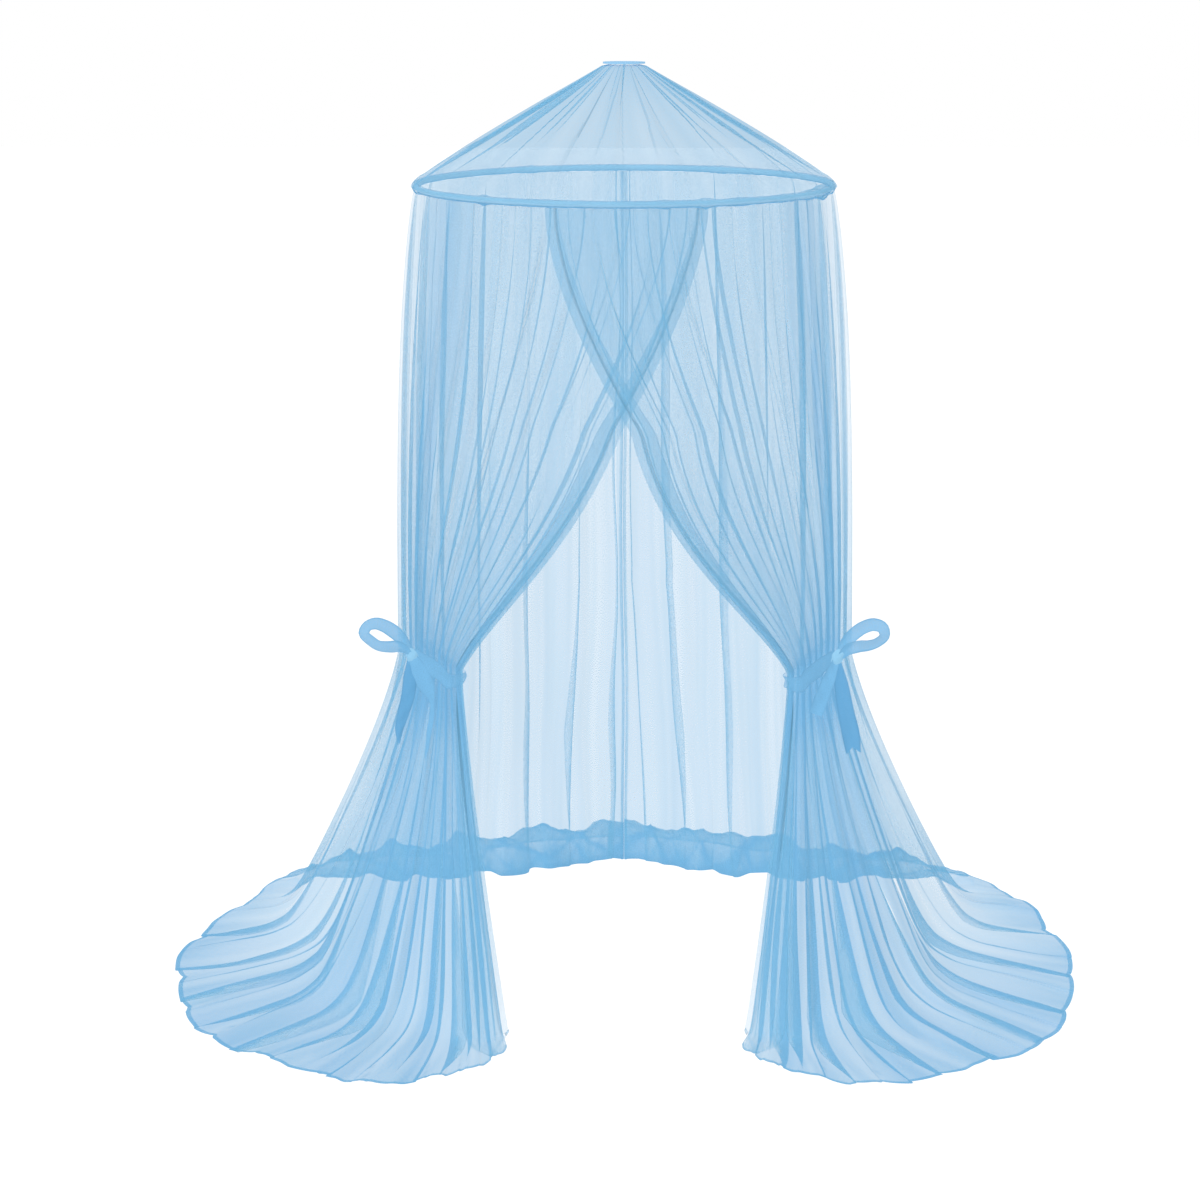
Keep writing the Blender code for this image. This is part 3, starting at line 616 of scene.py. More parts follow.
RIGHT_LINES = [
    Line(0.00, -22, 0.404, -0.225, 0.841, 0.300, -0.420, 0.276, -0.482, 0.00),
    Line(0.08, -7, 0.427, -0.202, 0.850, 0.375, -0.455, 0.345, -0.590, 0.00),
    Line(0.16, 7, 0.449, -0.179, 0.858, 0.480, -0.450, 0.480, -0.672, 0.00),
    Line(0.24, 22, 0.472, -0.156, 0.867, 0.600, -0.370, 0.690, -0.680, 0.00),
    Line(0.32, 37, 0.494, -0.133, 0.875, 0.715, -0.260, 0.900, -0.577, 0.00),
    Line(0.40, 51, 0.517, -0.110, 0.884, 0.810, -0.130, 1.070, -0.440, 0.00),
    Line(0.48, 65, 0.540, -0.087, 0.892, 0.880, 0.040, 1.175, -0.170, 0.00),
    Line(0.54, 77, 0.556, -0.069, 0.899, 0.925, 0.210, 1.178, 0.080, 0.00),
    Line(0.60, 89, 0.569, -0.042, 0.905, 0.935, 0.375, 1.130, 0.330, 0.01),
    Line(0.66, 101, 0.558, 0.108, 0.905, 0.845, 0.445, 1.000, 0.490, 0.03),
    Line(0.73, 115, 0.515, 0.240, 0.905, 0.670, 0.410, 0.810, 0.600, 0.06),
    Line(0.81, 132, 0.422, 0.380, 0.905, 0.470, 0.395, 0.580, 0.630, 0.08),
    Line(0.88, 148, 0.301, 0.482, 0.905, 0.310, 0.485, 0.375, 0.690, 0.10),
    Line(0.94, 164, 0.157, 0.546, 0.905, 0.155, 0.570, 0.185, 0.760, 0.08),
    Line(1.00, 180, 0.000, 0.568, 0.905, 0.000, 0.630, 0.000, 0.790, 0.10),
]

# The main folds of one half, from the front edge to the back seam: the share of its width that
# each takes, and its depth against the usual depth at that level.
Fold = namedtuple("Fold", "width depth")

LEFT_FOLDS = [
    Fold(0.050, 0.7), Fold(0.060, 1.0), Fold(0.046, 1.1), Fold(0.062, 0.8), Fold(0.050, 1.2),
    Fold(0.066, 1.0), Fold(0.048, 0.8), Fold(0.060, 1.1), Fold(0.052, 0.9), Fold(0.058, 1.1),
    Fold(0.050, 0.9), Fold(0.072, 1.2), Fold(0.056, 0.8), Fold(0.074, 1.0), Fold(0.058, 1.2),
    Fold(0.078, 0.8), Fold(0.060, 0.6),
]
RIGHT_FOLDS = [
    Fold(0.052, 0.7), Fold(0.048, 1.1), Fold(0.064, 0.9), Fold(0.050, 1.1), Fold(0.060, 0.8),
    Fold(0.050, 1.0), Fold(0.064, 1.0), Fold(0.050, 0.9), Fold(0.056, 1.0), Fold(0.062, 0.8),
    Fold(0.048, 1.1), Fold(0.066, 1.0), Fold(0.074, 0.8), Fold(0.054, 1.2), Fold(0.076, 1.0),
    Fold(0.060, 0.8), Fold(0.066, 0.6),
]

# Levels down the net. part is "upper" from hoop to tie, "lower" from tie to floor and "floor"
# from there to the hem; down is the share of that part. gathered and hanging are half the depth
# of a main fold in the net that the ribbon holds and in the rest, lean how far it leans over
# against that, and pleat how high a flat pleat stands. tucked and tucked_back are how much
# fainter the layers under a flat pleat look, at the front and at the back, and banded is how much
# closer the threads look on a pleat's top than at its foot.
Level = namedtuple("Level", "part down gathered hanging lean pleat tucked tucked_back banded")

LEVELS = [
    Level("upper", 0.00, 0.0024, 0.0030, 0.90, 0.0030, 0.10, 0.60, 0.00),
    Level("upper", 0.10, 0.0055, 0.0080, 0.90, 0.0035, 0.15, 0.65, 0.03),
    Level("upper", 0.28, 0.0080, 0.0100, 0.90, 0.0040, 0.15, 0.65, 0.05),
    Level("upper", 0.50, 0.0090, 0.0110, 0.75, 0.0045, 0.25, 0.65, 0.05),
    Level("upper", 0.72, 0.0085, 0.0120, 0.50, 0.0045, 0.45, 0.65, 0.04),
    Level("upper", 0.88, 0.0075, 0.0120, 0.30, 0.0040, 0.58, 0.65, 0.02),
    Level("upper", 1.00, 0.0070, 0.0120, 0.20, 0.0040, 0.62, 0.65, 0.00),
    Level("lower", 0.00, 0.0070, 0.0120, 0.20, 0.0040, 0.62, 0.65, 0.00),
    Level("lower", 0.16, 0.0070, 0.0120, 0.20, 0.0040, 0.62, 0.65, 0.00),
    Level("lower", 0.38, 0.0062, 0.0110, 0.20, 0.0040, 0.60, 0.65, 0.00),
    Level("lower", 0.62, 0.0052, 0.0100, 0.20, 0.0040, 0.60, 0.65, 0.02),
    Level("lower", 0.84, 0.0048, 0.0090, 0.25, 0.0038, 0.60, 0.50, 0.03),
    Level("lower", 0.97, 0.0048, 0.0070, 0.30, 0.0030, 0.62, 0.30, 0.03),
    Level("floor", 0.16, 0.0050, 0.0070, 0.35, 0.0026, 0.65, 0.20, 0.03),
    Level("floor", 0.55, 0.0045, 0.0070, 0.35, 0.0024, 0.65, 0.20, 0.03),
    Level("floor", 1.00, 0.0040, 0.0040, 0.30, 0.0022, 0.60, 0.20, 0.03),
]

# How close the threads look across the width, from the front edge to the back seam: at the hoop,
# half way to the tie, at the tie, half way to the floor, at the floor and at the hem.
Thickness = namedtuple("Thickness", "share hoop half tie low floor hem")

THICKNESSES = [
    Thickness(0.00, 1.00, 0.94, 1.75, 1.45, 1.20, 1.15),
    Thickness(0.05, 1.00, 0.90, 1.90, 1.70, 1.50, 1.62),
    Thickness(0.14, 1.00, 0.86, 1.96, 1.86, 1.76, 1.90),
    Thickness(0.28, 0.95, 0.88, 1.96, 1.84, 1.80, 1.95),
    Thickness(0.35, 1.10, 1.22, 1.96, 1.82, 1.82, 1.98),
    Thickness(0.40, 1.58, 1.92, 1.98, 1.72, 1.76, 1.98),
    Thickness(0.45, 1.43, 1.66, 1.86, 1.48, 1.60, 1.90),
    Thickness(0.50, 0.90, 0.90, 1.40, 1.15, 1.40, 1.95),
    Thickness(0.56, 0.48, 0.46, 0.90, 0.85, 1.35, 1.95),
    Thickness(0.62, 0.36, 0.36, 0.65, 0.80, 1.50, 1.90),
    Thickness(0.68, 0.50, 0.52, 0.80, 1.00, 2.00, 1.60),
    Thickness(0.76, 1.00, 1.06, 1.18, 1.24, 2.80, 1.30),
    Thickness(0.86, 1.10, 1.16, 1.26, 1.32, 2.80, 1.30),
    Thickness(0.98, 1.10, 1.16, 1.26, 1.32, 2.80, 1.30),
    Thickness(1.00, 1.15, 1.12, 1.30, 1.36, 2.80, 1.30),
]

SWEEP = 1.5  # the gathered net hangs almost straight at first, then sweeps over to the tie
BELLY = 0.6  # the hanging net spreads soon below the hoop
FLARE = 1.2  # below the tie it spreads more the lower it gets
BACK_FLARE = 2.2  # and the hanging net only near its foot
BACK_FOOT = 0.100  # how far the foot of the hanging net pushes forward under the bunched length
BACK_FOOT_EASED = 0.15  # it pushes this much less at the seam
BACK_FOOT_RIPPLE = 0.13  # and goes in and out by this much all along
# where the net reaches the floor: size (share of the way to the hem), pace and start of each wave
FLOOR_WANDER = [(0.10, 23.0, 0.6), (0.05, 47.0, 2.1), (0.02, 80.0, 4.0)]
BULGE = 0.016  # how far the gathered net stands out half way down to the tie
CROSSING = 0.43  # the free edges cross this far down to the tie
EDGE_SLACK = 1.9  # above that they lie this many degrees nearer to their own side
LEFT_PULL = 4.9  # and below it they sag towards the middle, by this many degrees at most
RIGHT_PULL = 7.3
GRIP = 0.025  # above and below the tie's height the folds run straight under the ribbon
LEFT_STEP = -0.007  # where the halves cross, the left one lies this far inside its usual place
RIGHT_STEP = 0.016  # and the right one this far outside
SEAM_GAP = 0.0004  # each half keeps this far from the middle of the back
SEAM_WANDER = 0.004  # how far the back seam strays from the middle

# Parts of the width of one half, as shares counted from its free front edge.
FRONT_TURN = 0.014  # the turned-back layer next to the free edge
FRONT_END = 0.28  # up to here the net lies in front of the tie
OVERLAP_SHARE = 0.30  # the step where the halves cross fades out over this
TRAIN_END = 0.58  # up to here the foot trails on the floor, and beyond it is bunched
GATHERED = 0.60  # up to here the ribbon holds the net, and beyond it hangs
GATHERED_FADE = 0.1  # the held net gives way to the hanging net over this much
BANDED_END = 0.62  # up to here its pleats show as bands
HANGING_BACK = 0.68  # from here it hangs in the open at the back
NEAR_SEAM = 0.9  # from here it is drawn to the back seam
SHARE_FADE = 0.08  # other parts give way to the next over this much

NET_COLUMNS = 620  # about so many in each half
UPPER_ROWS, GRIP_ROWS, LOWER_ROWS, FLOOR_ROWS = 56, 4, 42, 30
EVEN_COLUMNS = 61  # the cloth's own direction is taken as the mean over so many columns
EDGE_HEM = 0.020
FOOT_HEM = 0.012
SEAM_ALLOWANCE = 0.009
HEM_STEPS = 6  # columns across the front hem
SEAM_STEPS = 3  # and across the foot's hem and the seam's turned edge
HEM_BEHIND = 0.0012  # a hem lies this far behind the cloth that it is turned from
HEM_ROUNDS = 0.004  # and reaches that depth over this width
FOOT_CREASE = 0.3  # how creased the foot's hem looks: closer, and darker with painted shade
KNEE_ROWS = 11.0  # the bend where the net reaches the floor is rounded off over these rows
BACK_KNEE_ROWS = 1.5  # and where it is bunched, over these
KNEE_ROUNDS = 50  # rounds of smoothing there
SCALLOP = 0.030  # how far each fold runs out at the hem of the train
CORNER_BACK = 1.6  # the train's front corner is drawn back by this many scallops
SCALLOPS_END = 0.66  # up to this share of the width
PILE_LUMP = 0.021  # height of the lumps in the bunched length
PILE_CREASE = 0.75  # how much closer it looks along its creases
PILE_PALE = 0.22  # and how much less close between them
LUMP_LAG = 9  # columns by which its lumps lean over to one side
CREASE_WIDTH = 0.16  # of its creases, against a quarter of a wave
CLEAR_OF_FLOOR = 0.0015  # the least height of the net
HEM_CLEAR_OF_FLOOR = 0.0008  # and of the hem turned in under it
TIGHT = 0.22  # how much closer the gathered net looks just below the ribbon
TIGHT_LEVEL, TIGHT_HEIGHT = 2.15, 0.2
LOW_CREASES = 0.45  # how much less its creases show from the tie down than above: their closeness and painted shade
SPREAD = 0.85  # at the outer side of the train, just above the floor, its layers lie spread out
SPREAD_SHARE, SPREAD_WIDTH = 0.455, 0.065
SPREAD_LEVEL, SPREAD_HEIGHT = 3.75, 0.35
PLEAT_DRIFT = (0.0006, 0.0018)  # least and most that a pleat strays, as a share of the width
PLEAT_BOW = 0.008  # and the most that it bows on the floor
LAP_UNEVEN = 0.14  # how unevenly it laps
# How close the threads look in streaks down the cloth: the depth of the streaks and their widths.
NET_STREAKS = [(0.06, (0.31, 0.17, 0.11)), (0.04, (0.061, 0.043, 0.029, 0.021))]
# The lumps of the bunched length: pace along the foot, slant and size of each wave.
CRUMPLES = [(34, 4.2, 0.5), (52, -5.0, 0.4), (75, 6.0, 0.3), (118, -8.0, 0.2)]

# Values by level: 0 at the hoop, 1 half way to the tie, 2 at the tie, 3 half way to the floor,
# 4 at the floor and 5 at the hem. In the gathered net, the laps of the pleats listed below are
# multiplied by the first two: in front of the tie and beside it.
FRONT_LAPS = {0: 1.2, 1: 1.5, 2: 0.15, 3: 0.32, 4: 1.45, 5: 1.7}
SIDE_LAPS = {0: 1.0, 1: 0.75, 2: 0.15, 3: 0.32, 4: 1.30, 5: 1.6}
RIM = {0: 0.008, 3: 0.010, 3.5: 0.019, 4: 0.022}  # what shows of a layer past the one over it
HEM_TUCKED = {0: 0.30, 2: 0.35, 3: 0.45, 4: 0.65}  # how much fainter the turned-back hem looks

# Flat pleats between the main folds, from the front edge to the back seam: the share of the width
# at which each starts at the hoop, the tie and the hem, and how far it laps at the hoop, half way
# to the tie, at the tie, half way to the floor, at the floor and at the hem, in millimetres.
# Below 0 it lies the other way.
Pleat = namedtuple("Pleat", "hoop tie foot lap_hoop lap_half lap_tie lap_low lap_floor lap_hem")

LEFT_PLEATS = [
    Pleat(0.000, 0.000, 0.000, -10, -44, -16, -50, -110, -70),
    Pleat(FRONT_TURN, FRONT_TURN, FRONT_TURN, 0, 0, 0, 0, 0, 0),
    Pleat(0.034, 0.032, 0.034, 5, 6, 6, 8, 4, 0),
    Pleat(0.056, 0.050, 0.056, 6, 4, 8, 22, 10, 4),
    Pleat(0.080, 0.066, 0.075, 5, 8, 12, 20, 6, 0),
    Pleat(0.115, 0.088, 0.100, 8, 5, 14, 25, 12, 0),
    Pleat(0.150, 0.118, 0.136, 4, 9, 14, 42, 44, 4),
    Pleat(0.178, 0.145, 0.165, 6, 6, 12, 30, 10, 8),
    Pleat(0.205, 0.165, 0.192, 3, 7, 12, 50, 22, 0),
    Pleat(0.226, 0.185, 0.225, 8, 10, 14, 24, 8, 5),
    Pleat(0.256, 0.205, 0.252, 5, 6, 14, 20, 6, 10),
    Pleat(0.281, 0.222, 0.280, 4, 8, 10, 24, 20, 0),
    Pleat(0.301, 0.240, 0.310, 12, 14, 16, 40, 50, 10),
    Pleat(0.350, 0.285, 0.352, 14, 34, 30, 52, 64, 26),
    Pleat(0.412, 0.315, 0.380, 6, 8, 12, 22, 12, 0),
    Pleat(0.426, 0.335, 0.405, 6, 7, 12, 36, 46, 12),
    Pleat(0.443, 0.360, 0.432, 7, 9, 14, 30, 20, 4),
    Pleat(0.478, 0.390, 0.458, 9, 12, 20, 44, 58, 22),
    Pleat(0.495, 0.418, 0.480, 10, 12, 20, 30, 20, 6),
    Pleat(0.512, 0.446, 0.505, 8, 10, 20, 40, 50, 16),
    Pleat(0.529, 0.476, 0.530, 6, 8, 20, 30, 18, 4),
    Pleat(0.546, 0.510, 0.556, 5, 6, 22, 38, 46, 18),
    Pleat(0.565, 0.545, 0.584, 4, 5, 20, 24, 20, 6),
    Pleat(0.600, 0.590, 0.615, 3, 5, 6, 8, 10, 6),
    Pleat(0.645, 0.645, 0.655, 3, 4, 6, 6, 10, 6),
    Pleat(0.695, 0.700, 0.705, 8, 12, 8, 8, 12, 6),
    Pleat(0.745, 0.750, 0.750, 8, 14, 8, 6, 12, 6),
    Pleat(0.795, 0.800, 0.795, 4, 6, 6, 10, 12, 6),
    Pleat(0.845, 0.848, 0.838, 5, 6, 10, 8, 10, 6),
    Pleat(0.900, 0.897, 0.886, 5, 12, 24, 28, 8, 4),
    Pleat(0.955, 0.951, 0.926, 4, 8, 18, 36, 8, 4),
    Pleat(0.994, 0.993, 0.986, 6, 8, 9, 20, 18, 8),
]
RIGHT_PLEATS = [
    Pleat(0.000, 0.000, 0.000, -10, -44, -16, -52, -105, -65),
    Pleat(FRONT_TURN, FRONT_TURN, FRONT_TURN, 0, 0, 0, 0, 0, 0),
    Pleat(0.036, 0.030, 0.034, 6, 5, 6, 10, 2, 0),
    Pleat(0.062, 0.046, 0.054, 4, 7, 8, 18, 12, 4),
    Pleat(0.099, 0.066, 0.080, 8, 6, 12, 24, 10, 0),
    Pleat(0.128, 0.086, 0.108, 3, 6, 10, 20, 30, 8),
    Pleat(0.151, 0.112, 0.132, 6, 11, 15, 44, 30, 0),
    Pleat(0.178, 0.138, 0.160, 5, 6, 10, 26, 8, 6),
    Pleat(0.206, 0.158, 0.186, 4, 8, 12, 46, 40, 6),
    Pleat(0.226, 0.175, 0.212, 8, 12, 14, 24, 8, 4),
    Pleat(0.246, 0.192, 0.236, 14, 7, 14, 22, 12, 10),
    Pleat(0.272, 0.210, 0.268, 6, 14, 18, 44, 52, 14),
    Pleat(0.306, 0.232, 0.300, 5, 6, 14, 24, 10, 0),
    Pleat(0.336, 0.256, 0.326, 6, 9, 12, 22, 26, 20),
    Pleat(0.360, 0.282, 0.352, 8, 20, 20, 26, 14, 4),
    Pleat(0.404, 0.312, 0.382, 14, 15, 16, 34, 36, 24),
    Pleat(0.430, 0.342, 0.408, 12, 14, 18, 26, 12, 4),
    Pleat(0.450, 0.374, 0.436, 12, 14, 20, 44, 54, 18),
    Pleat(0.478, 0.408, 0.462, 10, 12, 20, 28, 16, 4),
    Pleat(0.502, 0.442, 0.490, 8, 10, 20, 40, 50, 20),
    Pleat(0.526, 0.476, 0.516, 8, 8, 20, 30, 22, 6),
    Pleat(0.550, 0.512, 0.546, 6, 6, 22, 40, 48, 16),
    Pleat(0.570, 0.548, 0.578, 4, 5, 20, 24, 18, 6),
    Pleat(0.605, 0.592, 0.612, 3, 5, 6, 8, 10, 6),
    Pleat(0.650, 0.645, 0.655, 3, 4, 6, 6, 10, 6),
    Pleat(0.700, 0.700, 0.705, 8, 12, 8, 8, 12, 6),
    Pleat(0.742, 0.748, 0.750, 6, 14, 8, 8, 12, 6),
    Pleat(0.790, 0.795, 0.790, 5, 6, 6, 6, 12, 6),
    Pleat(0.840, 0.842, 0.830, 4, 6, 8, 6, 10, 6),
    Pleat(0.895, 0.892, 0.869, 5, 12, 32, 24, 8, 4),
    Pleat(0.920, 0.910, 0.898, 0, 5, 6, 5, 6, 0),
    Pleat(0.962, 0.955, 0.915, 5, 24, 34, 34, 8, 4),
    Pleat(0.994, 0.992, 0.968, 6, 6, 6, 9, 12, 8),
]


def smooth_curve(values, slopes, at, wanted):
    """The wanted places' values on a smooth curve, from its values and slopes at a few places."""
    index = np.clip(np.searchsorted(at, wanted) - 1, 0, len(at) - 2)
    span = at[index + 1] - at[index]
    t = (wanted - at[index]) / span
    return (
        values[index] * (1 + 2 * t) * (1 - t) ** 2
        + values[index + 1] * t * t * (3 - 2 * t)
        + slopes[index] * span * t * (1 - t) ** 2
        - slopes[index + 1] * span * t * t * (1 - t)
    )


def along_lines(lines, column, share):
    """The column's values at these shares of the width, on a smooth curve through the lines."""
    at = np.array([line.share for line in lines])
    value = np.array([getattr(line, column) for line in lines], dtype=float)
    slope = np.empty_like(value)
    slope[1:-1] = (value[2:] - value[:-2]) / (at[2:] - at[:-2])
    slope[0] = (value[1] - value[0]) / (at[1] - at[0])
    slope[-1] = (value[-1] - value[-2]) / (at[-1] - at[-2])
    return smooth_curve(value, slope, at, share)


def hanging(share):
    """0 where the ribbon holds the net, and 1 beyond."""
    return smooth_step(share, GATHERED, GATHERED_FADE)


def upper_places(lines, share, down, step, pull):
    """Places of the net between hoop and tie, as (out, back, height)."""
    hoop_angle = np.radians(along_lines(lines, "hoop_angle", share))
    tie_x = along_lines(lines, "tie_x", share)
    tie_y = along_lines(lines, "tie_y", share)
    tie_angle, tie_radius = np.arctan2(tie_x, -tie_y), np.hypot(tie_x, tie_y)
    held = 1 - hanging(share)
    spread = held * down + (1 - held) * down**BELLY
    angle = hoop_angle + (tie_angle - hoop_angle) * down**SWEEP
    below = np.clip((down - CROSSING) / (1 - CROSSING), 0, 1)
    slack = EDGE_SLACK * np.maximum(1 - down / CROSSING, 0) - pull * np.sin(np.pi * below**0.9)
    angle = angle + np.radians(slack) * (1 - smooth_step(share / OVERLAP_SHARE))
    radius = HOOP_RADIUS + (tie_radius - HOOP_RADIUS) * spread
    radius = radius + held * BULGE * np.sin(np.pi * down**0.7)
    # the halves keep clear of each other from just below the hoop almost down to the tie
    apart = np.minimum(1.0, 0.45 + 4 * down) * (1 - down**4)
    radius = radius + step * (1 - smooth_step(share / OVERLAP_SHARE - 0.5)) * apart
    height = NET_TOP + (along_lines(lines, "tie_height", share) + GRIP - NET_TOP) * down
    return np.stack([radius * np.sin(angle), -radius * np.cos(angle), height], axis=-1)


def floor_line(lines, share):
    """Where the net reaches the floor, out and back: a little nearer to the hem or farther from it
    from fold to fold, and pushed forward at the back."""
    x, y = along_lines(lines, "floor_x", share), along_lines(lines, "floor_y", share)
    wander = sum(size * np.sin(pace * share + turn) for size, pace, turn in FLOOR_WANDER)
    wander = wander * (1 - smooth_step(share, TRAIN_END, SHARE_FADE)) * smooth_step(share / 0.05)
    x = x + wander * (along_lines(lines, "hem_x", share) - x)
    y = y + wander * (along_lines(lines, "hem_y", share) - y)
    eased = BACK_FOOT_EASED * smooth_step(share, 0.94, 0.06)
    forward = smooth_step(share, 0.82, 0.10) * (1 - eased)
    ripple = np.sin(97 * share + 1.2 * np.sin(41 * share))
    ripple = BACK_FOOT_RIPPLE * smooth_step(share, SCALLOPS_END, SHARE_FADE) * ripple
    return x, y - BACK_FOOT * (forward + ripple)


def lower_places(lines, share, down):
    """Places of the net between the tie's height and the floor."""
    flare = down**FLARE
    flare = flare + (down**BACK_FLARE - flare) * hanging(share)
    floor_x, floor_y = floor_line(lines, share)
    x = along_lines(lines, "tie_x", share) * (1 - flare) + floor_x * flare
    y = along_lines(lines, "tie_y", share) * (1 - flare) + floor_y * flare
    return np.stack([x, y, (along_lines(lines, "tie_height", share) - GRIP) * (1 - down)], axis=-1)


def floor_places(lines, share, down):
    """Places of the net on the floor, and of the bunched length at the back."""
    floor_x, floor_y = floor_line(lines, share)
    x = floor_x * (1 - down) + along_lines(lines, "hem_x", share) * down
    y = floor_y * (1 - down) + along_lines(lines, "hem_y", share) * down
    bunched = np.maximum(along_lines(lines, "pile", share), 0) * np.sin(np.pi * down) ** 0.8
    return np.stack([x, y, bunched], axis=-1)


UPPER_DOWN = np.linspace(0, 1, UPPER_ROWS)
GRIP_DOWN = np.linspace(0, 1, GRIP_ROWS + 2)[1:-1]
LOWER_DOWN = np.linspace(0, 1, LOWER_ROWS)
FLOOR_DOWN = np.linspace(0, 1, FLOOR_ROWS + 1)[1:]
FIRST_LOWER_ROW = UPPER_ROWS + GRIP_ROWS
FIRST_FLOOR_ROW = FIRST_LOWER_ROW + LOWER_ROWS
# each row's level, counted as in the tables
ROW_LEVEL = np.concatenate([2 * UPPER_DOWN, 2 + 0 * GRIP_DOWN, 2 + 2 * LOWER_DOWN, 4 + FLOOR_DOWN])


def by_level(values):
    """The value at each row of the net, from a few levels' values."""
    return np.interp(ROW_LEVEL, list(values), list(values.values()))[:, None]


def level_values(column):
    """The column's value at each row of the net, from its levels."""
    first = {"upper": 0, "lower": 2, "floor": 4}
    size = {"upper": 2, "lower": 2, "floor": 1}
    at = [first[level.part] + size[level.part] * level.down for level in LEVELS]
    return np.interp(ROW_LEVEL, at, [getattr(level, column) for level in LEVELS])[:, None]


def closeness_values(share):
    """How close the threads look at each point of one half, from the table above."""
    at, *columns = zip(*THICKNESSES)
    columns = np.array([np.interp(share, at, column) for column in columns])
    level = np.minimum(ROW_LEVEL.astype(int), 4)
    rows = np.arange(len(ROW_LEVEL))
    part = (ROW_LEVEL - level)[:, None] + 0 * share
    # the hanging net grows thick only where it meets the bunched length
    near_floor = (level[:, None] == 3) & (share > GATHERED)
    part = np.where(near_floor, part**8, part)
    return columns[level, rows] * (1 - part) + columns[level + 1, rows] * part


def plain_net(lines, share, step, pull):
    """One half of the net without its folds, as a grid of (out, back, height)."""
    upper = upper_places(lines, share[:UPPER_ROWS], UPPER_DOWN[:, None], step, pull)
    lower = lower_places(lines, share[FIRST_LOWER_ROW:FIRST_FLOOR_ROW], LOWER_DOWN[:, None])
    grip = upper[-1] * (1 - GRIP_DOWN[:, None, None]) + lower[0] * GRIP_DOWN[:, None, None]
    on_floor = floor_places(lines, share[FIRST_FLOOR_ROW:], FLOOR_DOWN[:, None])
    grid = np.concatenate([upper, grip, lower, on_floor])
    bunched = smooth_step(share, TRAIN_END, SHARE_FADE)
    reach = KNEE_ROWS + (BACK_KNEE_ROWS - KNEE_ROWS) * bunched
    rows = np.arange(len(grid))[:, None]
    near = np.exp(-(((rows - FIRST_FLOOR_ROW) / reach) ** 2))[..., None]
    for _ in range(KNEE_ROUNDS):
        rounded = grid.copy()
        rounded[1:-1] = 0.25 * grid[:-2] + 0.5 * grid[1:-1] + 0.25 * grid[2:]
        grid = grid * (1 - near) + rounded * near
    return grid


def fold_parts(folds, share):
    """Which fold each share of the width is in, how far across it, and where the folds begin."""
    widths = np.array([fold.width for fold in folds])
    starts = np.concatenate([[0], np.cumsum(widths / widths.sum())])
    index = np.clip(np.searchsorted(starts, share, side="right") - 1, 0, len(folds) - 1)
    return index, (share - starts[index]) / (starts[index + 1] - starts[index]), starts


def fold_wave(folds, share):
    """Which side of the net each share is on, from -1 to 1, and how deep its fold is."""
    _, part, starts = fold_parts(folds, share)
    middles = (starts[1:] + starts[:-1]) / 2
    return fold_side(part), np.interp(share, middles, [fold.depth for fold in folds])


def scallops(folds, share):
    """How far the hem runs out on the floor: a round bulge for each main fold."""
    index, part, _ = fold_parts(folds, share)
    bulge = np.sin(np.pi * np.clip(part, 0, 1)) ** 0.7 * (0.7 + 0.3 * np.sin(2.1 * index + 1))
    return bulge - 0.5 - CORNER_BACK * np.clip(1 - share / 0.03, 0, 1) ** 2


def net_pleats(pleats, seed):
    """The share, shift and rise of every point of one half, from its table of pleats. No pleat
    runs quite straight or laps evenly."""
    random = np.random.default_rng(seed)
    starts = np.array([np.interp(ROW_LEVEL, [0, 2, 5], pleat[:3]) for pleat in pleats]).T
    laps = np.array([np.interp(ROW_LEVEL, range(6), pleat[3:]) for pleat in pleats]).T / 1000
    front = 1 - smooth_step(starts[:, 2:], FRONT_END, SHARE_FADE)
    gathered = smooth_step((GATHERED - starts[:, 2:]) / 0.03)
    front_scale, side_scale = by_level(FRONT_LAPS), by_level(SIDE_LAPS)
    laps[:, 1:-1] *= 1 + gathered * (side_scale + front * (front_scale - side_scale) - 1)
    on_floor = np.sin(np.pi * np.clip((ROW_LEVEL - 3.5) / 1.5, 0, 1))
    for number in range(2, len(pleats)):
        turn, pace, size = random.uniform(0, 6), random.uniform(2, 6), random.uniform(*PLEAT_DRIFT)
        starts[:, number] += size * np.sin(pace * ROW_LEVEL + turn)
        uneven = np.sin(random.uniform(2, 5) * ROW_LEVEL + random.uniform(0, 6))
        laps[:, number] *= 1 + LAP_UNEVEN * uneven
        bow = random.uniform(-PLEAT_BOW, PLEAT_BOW) * on_floor
        starts[:, number] += bow * (pleats[number].foot < GATHERED)
    ends = np.ones((len(ROW_LEVEL), 1))
    return lay_pleats(np.concatenate([starts, ends], axis=1), laps, NET_COLUMNS)


def even_out(vectors, width):
    """The same vectors, each row averaged over this many columns."""
    wide = np.pad(vectors, ((0, 0), (width // 2, width // 2), (0, 0)), mode="edge")
    total = np.cumsum(np.pad(wide, ((0, 0), (1, 0), (0, 0))), axis=1)
    return (total[:, width:] - total[:, :-width]) / width


def running_sum(steps):
    """How far along its row each point is, from the steps between points."""
    return np.concatenate([np.zeros((len(steps), 1)), np.cumsum(steps, axis=1)], axis=1)


def reach_along(points):
    """How far along the cloth each point of a row is."""
    return running_sum(np.linalg.norm(np.diff(points, axis=1), axis=-1))


